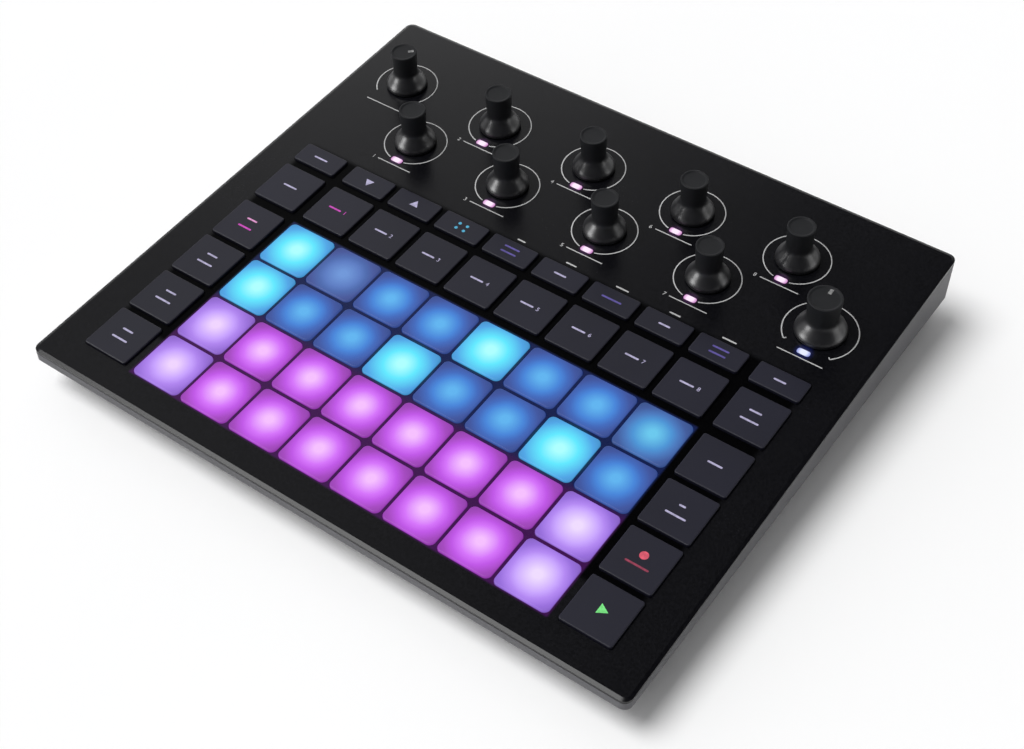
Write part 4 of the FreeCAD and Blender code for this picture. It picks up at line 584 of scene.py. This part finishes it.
panel = panel_paint()
tray = moulded("tray_grey", tint(96, 96, 99), 0.44, grain=0.6, spread=0.05,
               Specular_IOR_Level=0.2)
button = moulded("button_black", tint(20, 20, 35), 0.48, grain=0.3, depth=0.006,
                 Specular_IOR_Level=0.3)
knob_black = knob_paint()
print_white = moulded("print_white", tint(182, 182, 182), 0.5, grain=0.3, depth=0.004)
legend_white = legend_paint("legend_white", tint(184, 178, 212))
legend_violet = legend_paint("legend_violet", tint(88, 76, 156))
legend_magenta = legend_paint("legend_magenta", tint(214, 60, 196))
legend_pink = legend_paint("legend_pink", tint(226, 150, 206))
legend_cyan = legend_paint("legend_cyan", tint(70, 176, 214))
legend_red = legend_paint("legend_red", tint(232, 84, 108))
legend_dim_red = legend_paint("legend_dim_red", tint(150, 44, 74))
legend_green = legend_paint("legend_green", tint(120, 236, 130))
foot_rubber = moulded("foot_rubber", tint(38, 38, 38), 0.8, grain=1.2, depth=0.05)
mat_silicone = moulded("mat_silicone", tint(196, 196, 190), 0.6, grain=0.8,
                       Subsurface_Weight=0.2)
black_zinc = metal("screw_black_zinc", tint(92, 92, 96), 0.35)
nickel = metal("nickel_plate", tint(196, 194, 188), 0.22)
contact_gold = metal("contact_gold", tint(214, 176, 96), 0.25)
board_green = board_paint()
battery_wrap = moulded("battery_wrap", tint(168, 170, 176), 0.38, grain=8.0, depth=0.15)
rotary = two_finishes("rotary_metal", tint(40, 40, 42), tint(176, 176, 174), bushing_metal, 0.3)
socket_black = moulded("socket_black", tint(30, 30, 31), 0.38, grain=0.8, depth=0.015)
data_steel = two_finishes("data_sockets", tint(30, 30, 31), tint(188, 188, 190), usb_shell, 0.3)
light = light_paint()


def dress(node, paint):
    """Gives a carried-over piece its material."""
    thing = frame["nodes"][node]
    if not thing.material_slots:
        thing.data.materials.append(paint.material)
    for each in thing.material_slots:
        each.material = paint.material


FINISHES = {
    "top_case": panel,
    "bottom_case": tray,
    "rubber_feet": foot_rubber,
    "screws": black_zinc,
    "key_mat": mat_silicone,
    "control_board": board_green,
    "main_board": board_green,
    "rotary_bodies": rotary,
    "led_windows": light,
    "midi_sockets": socket_black,
    "audio_jacks": socket_black,
    "data_sockets": data_steel,
    "battery_pack": battery_wrap,
    "power_button": button,
    "slim_button_row": button,
    "wide_button_row": button,
    "left_button_column": button,
    "right_button_column": button,
}
for row, lights in enumerate(PAD_LIGHTS):
    for column, colour in enumerate(lights):
        FINISHES[f"pad_{row + 1}_{column + 1}"] = PAD_PAINTS[colour]
for node, paint in FINISHES.items():
    dress(node, paint)


# Shapes, each as its points and faces

def closed_sweep(sections):
    """A run of sections, each a ring of points, joined side to side and capped at both ends.
    Point (i, j) is the j-th point of section i."""
    sections = np.asarray(sections, float)
    count, ring = sections.shape[:2]
    index = np.arange(count * ring).reshape(count, ring)
    ahead = np.roll(index, -1, axis=1)
    quads = np.stack([index[:-1], ahead[:-1], ahead[1:], index[1:]], axis=-1).reshape(-1, 4)
    faces = quads.tolist() + [index[0, ::-1].tolist(), index[-1].tolist()]
    return sections.reshape(-1, 3), faces


def revolved(profile, steps):
    """A profile of (radius, height) pairs turned about the vertical axis. Its first and last
    points lie on the axis and close the shape: point = (r cos a, r sin a, h)."""
    profile = np.asarray(profile, float)
    angles = np.linspace(0, 2 * np.pi, steps, endpoint=False)
    radius, height = profile[1:-1, 0], profile[1:-1, 1]
    ring = np.stack([
        np.outer(radius, np.cos(angles)),
        np.outer(radius, np.sin(angles)),
        np.repeat(height[:, None], steps, axis=1),
    ], axis=-1)
    points = np.concatenate([
        ring.reshape(-1, 3), [[0, 0, profile[0, 1]], [0, 0, profile[-1, 1]]],
    ])
    index = np.arange(len(radius) * steps).reshape(len(radius), steps)
    ahead = np.roll(index, -1, axis=1)
    quads = np.stack([index[:-1], ahead[:-1], ahead[1:], index[1:]], axis=-1).reshape(-1, 4)
    first, last = len(points) - 2, len(points) - 1
    start = np.stack([index[0], np.full(steps, first), ahead[0]], axis=-1)
    finish = np.stack([index[-1], ahead[-1], np.full(steps, last)], axis=-1)
    return points, quads.tolist() + start.tolist() + finish.tolist()


def rounded(corners, radius, steps=4):
    """A run of corners with each inner one rounded off: each becomes a quadratic curve between
    the points at a radius either side of it."""
    corners = np.asarray(corners, float)
    run = [corners[:1]]
    share = np.linspace(0, 1, steps + 1)[:, None]
    for before, here, after in zip(corners[:-2], corners[1:-1], corners[2:]):
        back, on = before - here, after - here
        start = here + back * min(0.45, radius / np.linalg.norm(back))
        end = here + on * min(0.45, radius / np.linalg.norm(on))
        run.append((1 - share) ** 2 * start + 2 * share * (1 - share) * here + share**2 * end)
    run.append(corners[-1:])
    return np.concatenate(run)


def flat_shape(outline, low=-PRINT_ROOT, high=PRINT_HEIGHT):
    """A flat outline with a thickness, from low to high off its face."""
    outline = np.asarray(outline, float)
    sections = [
        np.column_stack([outline, np.full(len(outline), level)]) for level in (low, high)
    ]
    return closed_sweep(sections)


def ring_sector(radius, width, start, end, centre, steps=72):
    """A printed ring from one angle to another, in degrees from the right, anticlockwise: a
    thin rectangle carried round the circle."""
    angles = np.radians(np.linspace(start, end, steps))
    section = np.array([
        (radius - width / 2, -PRINT_ROOT),
        (radius + width / 2, -PRINT_ROOT),
        (radius + width / 2, PRINT_HEIGHT),
        (radius - width / 2, PRINT_HEIGHT),
    ])
    points = np.stack([
        centre[0] + np.outer(np.cos(angles), section[:, 0]),
        centre[1] + np.outer(np.sin(angles), section[:, 0]),
        np.repeat(section[None, :, 1], steps, axis=0),
    ], axis=-1)
    return closed_sweep(points)


def annulus(x, y, inner, outer, low, high, steps):
    """A closed ring of rectangular section: each of its four corners is carried right round."""
    angles = np.linspace(0, 2 * np.pi, steps, endpoint=False)
    corners = np.array([(inner, low), (outer, low), (outer, high), (inner, high)])
    points = np.stack([
        x + np.outer(np.cos(angles), corners[:, 0]),
        y + np.outer(np.sin(angles), corners[:, 0]),
        np.repeat(corners[None, :, 1], steps, axis=0),
    ], axis=-1).reshape(-1, 3)
    index = np.arange(steps * 4).reshape(steps, 4)
    ahead, side = np.roll(index, -1, axis=0), np.roll(index, -1, axis=1)
    far = np.roll(ahead, -1, axis=1)
    return points, np.stack([index, side, far, ahead], axis=-1).reshape(-1, 4).tolist()


def bar(x, y, width, height=LINE):
    """A bar with round ends: two half circles joined by straight sides."""
    half = np.linspace(-90, 90, 7)
    angles = np.radians(np.concatenate([half, half + 180]))
    side = np.repeat([1, -1], len(half))
    outline = np.column_stack([
        x + side * (width - height) / 2 + height / 2 * np.cos(angles),
        y + height / 2 * np.sin(angles),
    ])
    return flat_shape(outline)


def dot(x, y, radius):
    """A round dot: (x + r cos a, y + r sin a)."""
    angles = np.linspace(0, 2 * np.pi, 20, endpoint=False)
    return flat_shape(np.column_stack([x + radius * np.cos(angles), y + radius * np.sin(angles)]))


def triangle(x, y, size, points_to):
    """A triangle whose tip points at an angle from the right, in degrees."""
    angles = np.radians(points_to + np.array([0, 120, 240]))
    return flat_shape(np.column_stack([x + size * np.cos(angles), y + size * np.sin(angles)]))


def number(text, x, y, height):
    """A plain number centred on a place, its digits of a given height."""
    letters = bpy.data.curves.new("number", "FONT")
    letters.body = text
    letters.size = height / 0.7
    letters.align_x = "CENTER"
    letters.align_y = "CENTER"
    letters.resolution_u = 3
    letters.extrude = (PRINT_HEIGHT + PRINT_ROOT) / 2
    holder = bpy.data.objects.new("number", letters)
    mesh = bpy.data.meshes.new_from_object(holder)
    points = np.zeros(len(mesh.vertices) * 3)
    mesh.vertices.foreach_get("co", points)
    faces = [list(face.vertices) for face in mesh.polygons]
    bpy.data.objects.remove(holder)
    bpy.data.curves.remove(letters)
    bpy.data.meshes.remove(mesh)
    return points.reshape(-1, 3) + (x, y, (PRINT_HEIGHT - PRINT_ROOT) / 2), faces


def piece(name, shapes, face, paint, body, smooth=None, lift=0.0):
    """One piece of the object, made of several closed shapes laid on a face."""
    points, faces = [], []
    offset = 0
    for shape_points, shape_faces in shapes:
        points.append(shape_points + (0, 0, lift))
        faces += [[index + offset for index in each] for each in shape_faces]
        offset += len(shape_points)
    mesh = bpy.data.meshes.new(name)
    mesh.from_pydata(face.place(np.concatenate(points)), [], faces)
    merged = bmesh.new()
    merged.from_mesh(mesh)
    bmesh.ops.remove_doubles(merged, verts=merged.verts, dist=1e-7)
    bmesh.ops.recalc_face_normals(merged, faces=merged.faces)
    merged.to_mesh(mesh)
    merged.free()
    if smooth:
        mesh.shade_smooth()
        mesh.set_sharp_from_angle(angle=np.radians(smooth))
    mesh.materials.append(paint.material)
    made = bpy.data.objects.new(name, mesh)
    bpy.context.scene.collection.objects.link(made)
    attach(made, body)
    return made


# Knobs

def knob_shape(node):
    """A knob on its axis: from the middle of its top, down the neck and the bell, round the
    skirt, up into its hollow and down its shaft. The bell is half a wave from the neck to the
    skirt, upright at both ends: radius = neck + reach (1 - cos(pi t)) / 2."""
    large = node == "master_filter_knob"
    top, neck, skirt = (6.0, 5.4, 9.0) if large else (5.0, 4.6, 7.9)
    share = np.linspace(0, 1, 25)
    wave = (1 - np.cos(np.pi * share)) / 2
    bell = np.column_stack([
        neck + (skirt - neck) * wave,
        BELL_TOP - (BELL_TOP - SKIRT_TOP) * share**0.95,
    ])
    rim, hollow = top - 0.7, skirt - SKIRT_WALL
    upper = rounded([
        (0, KNOB_DISH), (rim - 0.35, KNOB_DISH), (rim, KNOB_TOP), (top, KNOB_TOP),
        (neck, BELL_TOP),
    ], 0.4)[:-1]
    lower = rounded([
        (skirt, SKIRT_TOP), (skirt, SKIRT_BOTTOM), (hollow, SKIRT_BOTTOM), (hollow, HOLLOW_TOP),
        (SHAFT_RADIUS, HOLLOW_TOP), (SHAFT_RADIUS, SHAFT_END), (0, SHAFT_END),
    ], 0.3)[1:]
    points, faces = revolved(np.concatenate([upper, bell, lower]), KNOB_STEPS)
    x, y = knob_axis(node)
    return points + (x, y, 0), faces


def pointer(node, turn, reach):
    """The white mark in a knob's dished top, turned from the rear by an angle in degrees."""
    outline, faces = bar(0, reach - POINTER_LENGTH / 2, POINTER_WIDTH, POINTER_LENGTH)
    angle = np.radians(turn)
    x, y = knob_axis(node)
    points = np.column_stack([
        x + outline[:, 0] * np.cos(angle) - outline[:, 1] * np.sin(angle),
        y + outline[:, 0] * np.sin(angle) + outline[:, 1] * np.cos(angle),
        outline[:, 2] + KNOB_DISH,
    ])
    return points, faces


for node in KNOBS:
    turned = piece(f"{node}_turned", [knob_shape(node)], DECK, knob_black, node,
                   smooth=50)
    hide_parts(node)

for node, turn, reach in (("master_volume_knob", -43.5, 3.9), ("master_filter_knob", 0, 4.8)):
    piece(f"{node}_pointer", [pointer(node, turn, reach)], DECK, print_white, node)


# Print on the panel

def opening_of(node):
    """Half the angle left open in a knob's ring."""
    return LIMITED_RING_OPENING if node.startswith("master") else RING_OPENING


def knob_rings():
    """A ring round each knob: open at the light window of a knob that turns without end, and
    over the front quarter at the two that stop."""
    shapes = []
    for node in KNOBS:
        radius = FILTER_RING_RADIUS if node == "master_filter_knob" else RING_RADIUS
        start, end = -90 + opening_of(node), 270 - opening_of(node)
        shapes.append(ring_sector(radius, RING_WIDTH, start, end, knob_axis(node)))
    return shapes


def knob_numbers():
    """A number and a rule in front of each macro knob, and a rule in front of the other two."""
    shapes = []
    for node in KNOBS:
        x, y = knob_axis(node)
        y -= KNOB_RULE_OFFSET
        if node.startswith("macro_knob"):
            shapes.append(number(node[-1], x - 8.6, y, NUMBER_HEIGHT))
            shapes.append(bar(x + 0.8, y, 15.0, RULE))
        else:
            shapes.append(bar(x, y, 17.0, RULE))
    return shapes


def filter_ticks():
    """Short marks that point inwards from the ends of the large knob's ring."""
    node = "master_filter_knob"
    return [
        ring_sector(FILTER_RING_RADIUS - 0.5, 1.0, end - 0.9, end + 0.9, knob_axis(node), steps=4)
        for end in (-90 + opening_of(node), 270 - opening_of(node))
    ]


def marks_behind_slim_buttons():
    """Rules on the panel behind the last five slim buttons."""
    widths = {3: 3.4, 4: 4.4, 5: 5.2, 6: 4.4, 7: 5.6}
    return [bar(COLUMNS[k], SLIM_ROW + 6.9, width, RULE + 0.2) for k, width in widths.items()]


panel_marks = knob_rings() + knob_numbers() + filter_ticks() + marks_behind_slim_buttons()
piece("panel_print", panel_marks, DECK, print_white, "case")


# Marks lit through the keys. A rule stands for each word.

def two_rules(x, y, upper=4.6, lower=6.8):
    """Two lines, one over the other."""
    return [bar(x, y + 2.1, upper), bar(x, y - 2.1, lower)]


def four_dots(x, y):
    """Four dots at the corners of an oblong."""
    return [dot(x + side * 1.625, y + end * 1.25, 0.62) for side in (-1, 1) for end in (-1, 1)]


def numbered_rules(columns):
    """A rule and a number on a square button: its column's place in the row."""
    shapes = []
    for k in columns:
        shapes.append(bar(COLUMNS[k] - 1.6, WIDE_ROW, 5.4))
        shapes.append(number(str(k + 1), COLUMNS[k] + 2.9, WIDE_ROW, NUMBER_HEIGHT))
    return shapes


def legend(name, shapes, paint, body):
    """Marks on top of a button strip, which they ride on."""
    piece(name, shapes, DECK, paint, body, lift=BUTTON_PROUD)


legend("wide_row_marks",
       numbered_rules(range(1, 8)) + [bar(LEFT, WIDE_ROW, 6.0)] + two_rules(RIGHT, WIDE_ROW),
       legend_white, "wide_button_row")
legend("wide_row_selected_mark", numbered_rules([0]), legend_magenta, "wide_button_row")
legend("slim_row_marks",
       [bar(LEFT, SLIM_ROW, 6.0), triangle(COLUMNS[0], SLIM_ROW, 2.0, -90),
        triangle(COLUMNS[1], SLIM_ROW, 2.0, 90), bar(COLUMNS[4], SLIM_ROW, 5.0),
        bar(COLUMNS[6], SLIM_ROW, 4.6), bar(RIGHT, SLIM_ROW, 4.6)],
       legend_white, "slim_button_row")
legend("slim_row_dots", four_dots(COLUMNS[2], SLIM_ROW), legend_cyan, "slim_button_row")
legend("slim_row_dim_marks",
       [bar(COLUMNS[k], SLIM_ROW + step, 6.4) for k in (3, 7) for step in (-1.3, 1.3)]
       + [bar(COLUMNS[5], SLIM_ROW, 8.0)],
       legend_violet, "slim_button_row")
legend("left_column_marks", [shape for row in ROWS[1:] for shape in two_rules(LEFT, row)],
       legend_white, "left_button_column")
legend("left_column_selected_rule", [bar(LEFT, ROWS[0] - 2.1, 6.0)], legend_magenta,
       "left_button_column")
legend("left_column_lit_rule", [bar(LEFT, ROWS[0] + 2.1, 4.6)], legend_pink,
       "left_button_column")
legend("right_column_marks", [bar(RIGHT, ROWS[0], 5.4)] + two_rules(RIGHT, ROWS[1], 2.4, 7.4),
       legend_white, "right_button_column")
legend("record_mark", [dot(RIGHT, ROWS[2] + 1.6, 1.5)], legend_red, "right_button_column")
legend("record_rule", [bar(RIGHT, ROWS[2] - 2.6, 8.4)], legend_dim_red, "right_button_column")
legend("play_mark", [triangle(RIGHT, ROWS[3], 2.2, 0)], legend_green, "right_button_column")


# Contacts and marks at the rear

def pin_tubes():
    """A contact tube in each of five holes of each round socket, on a half circle below."""
    return [
        annulus(x + PIN_CIRCLE * np.cos(angle), z + PIN_CIRCLE * np.sin(angle),
                inner=0.5, outer=0.77, low=-7.0, high=-0.35, steps=20)
        for x, z in MIDI_PLACES for angle in np.radians(180 + 45 * np.arange(5))
    ]


def usb_pins():
    """Flat contacts along both faces of the data socket's tongue."""
    x, z = USB_PLACE
    shapes = []
    for k in range(-5, 6, 2):
        for side in (-1, 1):
            level = z + side * 0.37
            left, right = x + k * 0.5 - 0.15, x + k * 0.5 + 0.15
            outline = [(left, level - 0.02), (right, level - 0.02), (right, level + 0.02),
                       (left, level + 0.02)]
            shapes.append(flat_shape(outline, low=-7.0, high=-2.3))
    return shapes


def barrels():
    """A plated liner in the mouth of each jack."""
    large = [annulus(x, z, inner=2.95, outer=3.22, low=-6.0, high=-0.2, steps=48)
             for x, z in JACK_PLACES]
    small = [annulus(x, z, inner=1.6, outer=1.78, low=-5.0, high=-0.15, steps=32)
             for x, z in (SYNC_PLACE, HEADPHONE_PLACE)]
    return large + small


def collars():
    """A washer pressed into the face of each large jack."""
    return [annulus(x, z, inner=3.9, outer=4.7, low=-0.05, high=0.02, steps=64)
            for x, z in JACK_PLACES]


def headphone_symbol():
    """A bow with a pad at each end."""
    x = HEADPHONE_PLACE[0]
    bow = ring_sector(1.6, 0.4, 0, 180, (x, SYMBOL_UP), steps=24)
    return [bow] + [bar(x + side * 1.6, SYMBOL_UP - 0.4, 0.8, 1.2) for side in (-1, 1)]


def power_symbol():
    """An open ring with an upright line in its opening."""
    ring = ring_sector(1.3, 0.36, -240, 60, (POWER_ACROSS, SYMBOL_UP), steps=32)
    left, right = POWER_ACROSS - 0.18, POWER_ACROSS + 0.18
    low, high = SYMBOL_UP + 0.2, SYMBOL_UP + 1.8
    return [ring, flat_shape([(left, low), (right, low), (right, high), (left, high)])]


def rear_marks():
    """Numbers, rules and plain symbols on the rear wall."""
    shapes = [number(str(k + 1), x, MIDI_NUMBER_UP, REAR_NUMBER_HEIGHT)
              for k, (x, _) in enumerate(MIDI_PLACES)]
    shapes += [number(str(k % 2 + 1), x, JACK_NUMBER_UP, REAR_NUMBER_HEIGHT)
               for k, (x, _) in enumerate(JACK_PLACES)]
    for (left, _), (right, _) in (JACK_PLACES[:2], JACK_PLACES[2:]):
        shapes.append(bar((left + right) / 2, JACK_NUMBER_UP, 8.0, RULE))
    shapes.append(bar(SYNC_PLACE[0], SYNC_RULE_UP, 5.0, RULE))
    shapes += headphone_symbol()
    shapes += [bar(x, DATA_RULE_UP, 6.0, RULE) for x in (USB_PLACE[0], CARD_ACROSS)]
    return shapes + power_symbol()


piece("midi_contacts", pin_tubes(), REAR, contact_gold, "case", smooth=40)
piece("usb_contacts", usb_pins(), REAR, contact_gold, "case")
piece("jack_barrels", barrels(), REAR, nickel, "case", smooth=40)
piece("jack_collars", collars(), REAR, nickel, "case", smooth=40)
piece("rear_print", rear_marks(), REAR, print_white, "case")


# Stage

def floor():
    """A wide pale floor that takes the object's shadow and shows white."""
    mesh = bpy.data.meshes.new("floor")
    corners = [(-1, -1), (1, -1), (1, 1), (-1, 1)]
    mesh.from_pydata([(x * FLOOR_HALF, y * FLOOR_HALF, 0) for x, y in corners], [],
                     [(0, 1, 2, 3)])
    ground = bpy.data.objects.new("floor", mesh)
    bpy.context.scene.collection.objects.link(ground)
    paint = Paint("floor_white", Roughness=0.9, Specular_IOR_Level=0.1, Emission_Strength=1.0)
    paint.feed("Base Color", paint.blend(paint.noise(300.0), tint(246, 246, 246),
                                         tint(250, 250, 250)))
    camera_ray = paint.node("ShaderNodeLightPath", output="Is Camera Ray")
    paint.feed("Emission Color", paint.blend(camera_ray, BLACK, tint(56, 56, 56)))
    mesh.materials.append(paint.material)


def card(name, place, watts):
    """A square lit card that faces the object and shows in glossy surfaces only."""
    data = bpy.data.lights.new(name, "AREA")
    data.size = CARD_SIZE
    data.energy = watts
    made = bpy.data.objects.new(name, data)
    made.location = place
    facing = Vector((0, 0, 0.03)) - Vector(place)
    made.rotation_euler = facing.to_track_quat("-Z", "Y").to_euler()
    made.visible_diffuse = False
    bpy.context.scene.collection.objects.link(made)


def sky():
    """Soft studio light, brighter at the left and front. Seen directly it is white, and
    reflections see it white at the horizon and dark overhead."""
    world = bpy.data.worlds.new("studio")
    world.use_nodes = True
    bpy.context.scene.world = world
    nodes = Nodes(world.node_tree)
    camera, glossy, clear = (
        nodes.node("ShaderNodeLightPath", output=f"Is {kind} Ray")
        for kind in ("Camera", "Glossy", "Transmission")
    )
    seen = (camera + glossy + clear).maths("MINIMUM", camera + glossy + clear, 1.0)
    right, rear, height = nodes.split(nodes.node("ShaderNodeTexCoord", output="Generated"))
    level = AMBIENT - right * DARKER_RIGHT - rear * DARKER_REAR
    soft = nodes.grey(level, level * 1.01)
    left = right.rise(-0.28, -0.48)
    low = height.rise(0.68, 0.60) * rear.rise(0.35, 0.60)
    overhead = nodes.grey(
        MIRRORED_TOP + left * MIRRORED_LEFT + low * (MIRRORED_LOW + left * MIRRORED_LOW_LEFT)
    )
    camera_side = (right * 0.53 - rear * 0.85).rise(0.6, 0.9)
    horizon = nodes.grey(1 - camera_side * 0.9)
    mirrored = nodes.blend(height.rise(0.05, 0.3), horizon, overhead)
    colour = nodes.blend(seen, soft, nodes.blend(camera, mirrored, WHITE))
    nodes.tree.links.new(colour.socket, nodes.tree.nodes["Background"].inputs["Color"])


def key_light():
    """The main light: from the left and a little in front, high up, and soft at the edges."""
    data = bpy.data.lights.new("key", "SUN")
    data.energy = KEY_STRENGTH
    data.angle = np.radians(KEY_SPREAD)
    made = bpy.data.objects.new("key", data)
    made.rotation_euler = (-Vector(KEY_FROM)).to_track_quat("-Z", "Y").to_euler()
    bpy.context.scene.collection.objects.link(made)


def photo_camera():
    """The camera, where the photograph was taken from."""
    data = bpy.data.cameras.new("camera")
    data.lens = CAMERA_LENS
    data.sensor_width = CAMERA_SENSOR
    made = bpy.data.objects.new("camera", data)
    made.location = CAMERA_PLACE
    look = Vector(CAMERA_TARGET) - Vector(CAMERA_PLACE)
    made.rotation_euler = look.to_track_quat("-Z", "Y").to_euler()
    bpy.context.scene.collection.objects.link(made)
    bpy.context.scene.camera = made


floor()
sky()
key_light()
card("card_front_left", (-1.2, -1.2, 0.3), 17.0)
card("card_right", (1.4, 0.45, 0.35), 3.0)
photo_camera()
bpy.context.scene.view_settings.view_transform = "Standard"
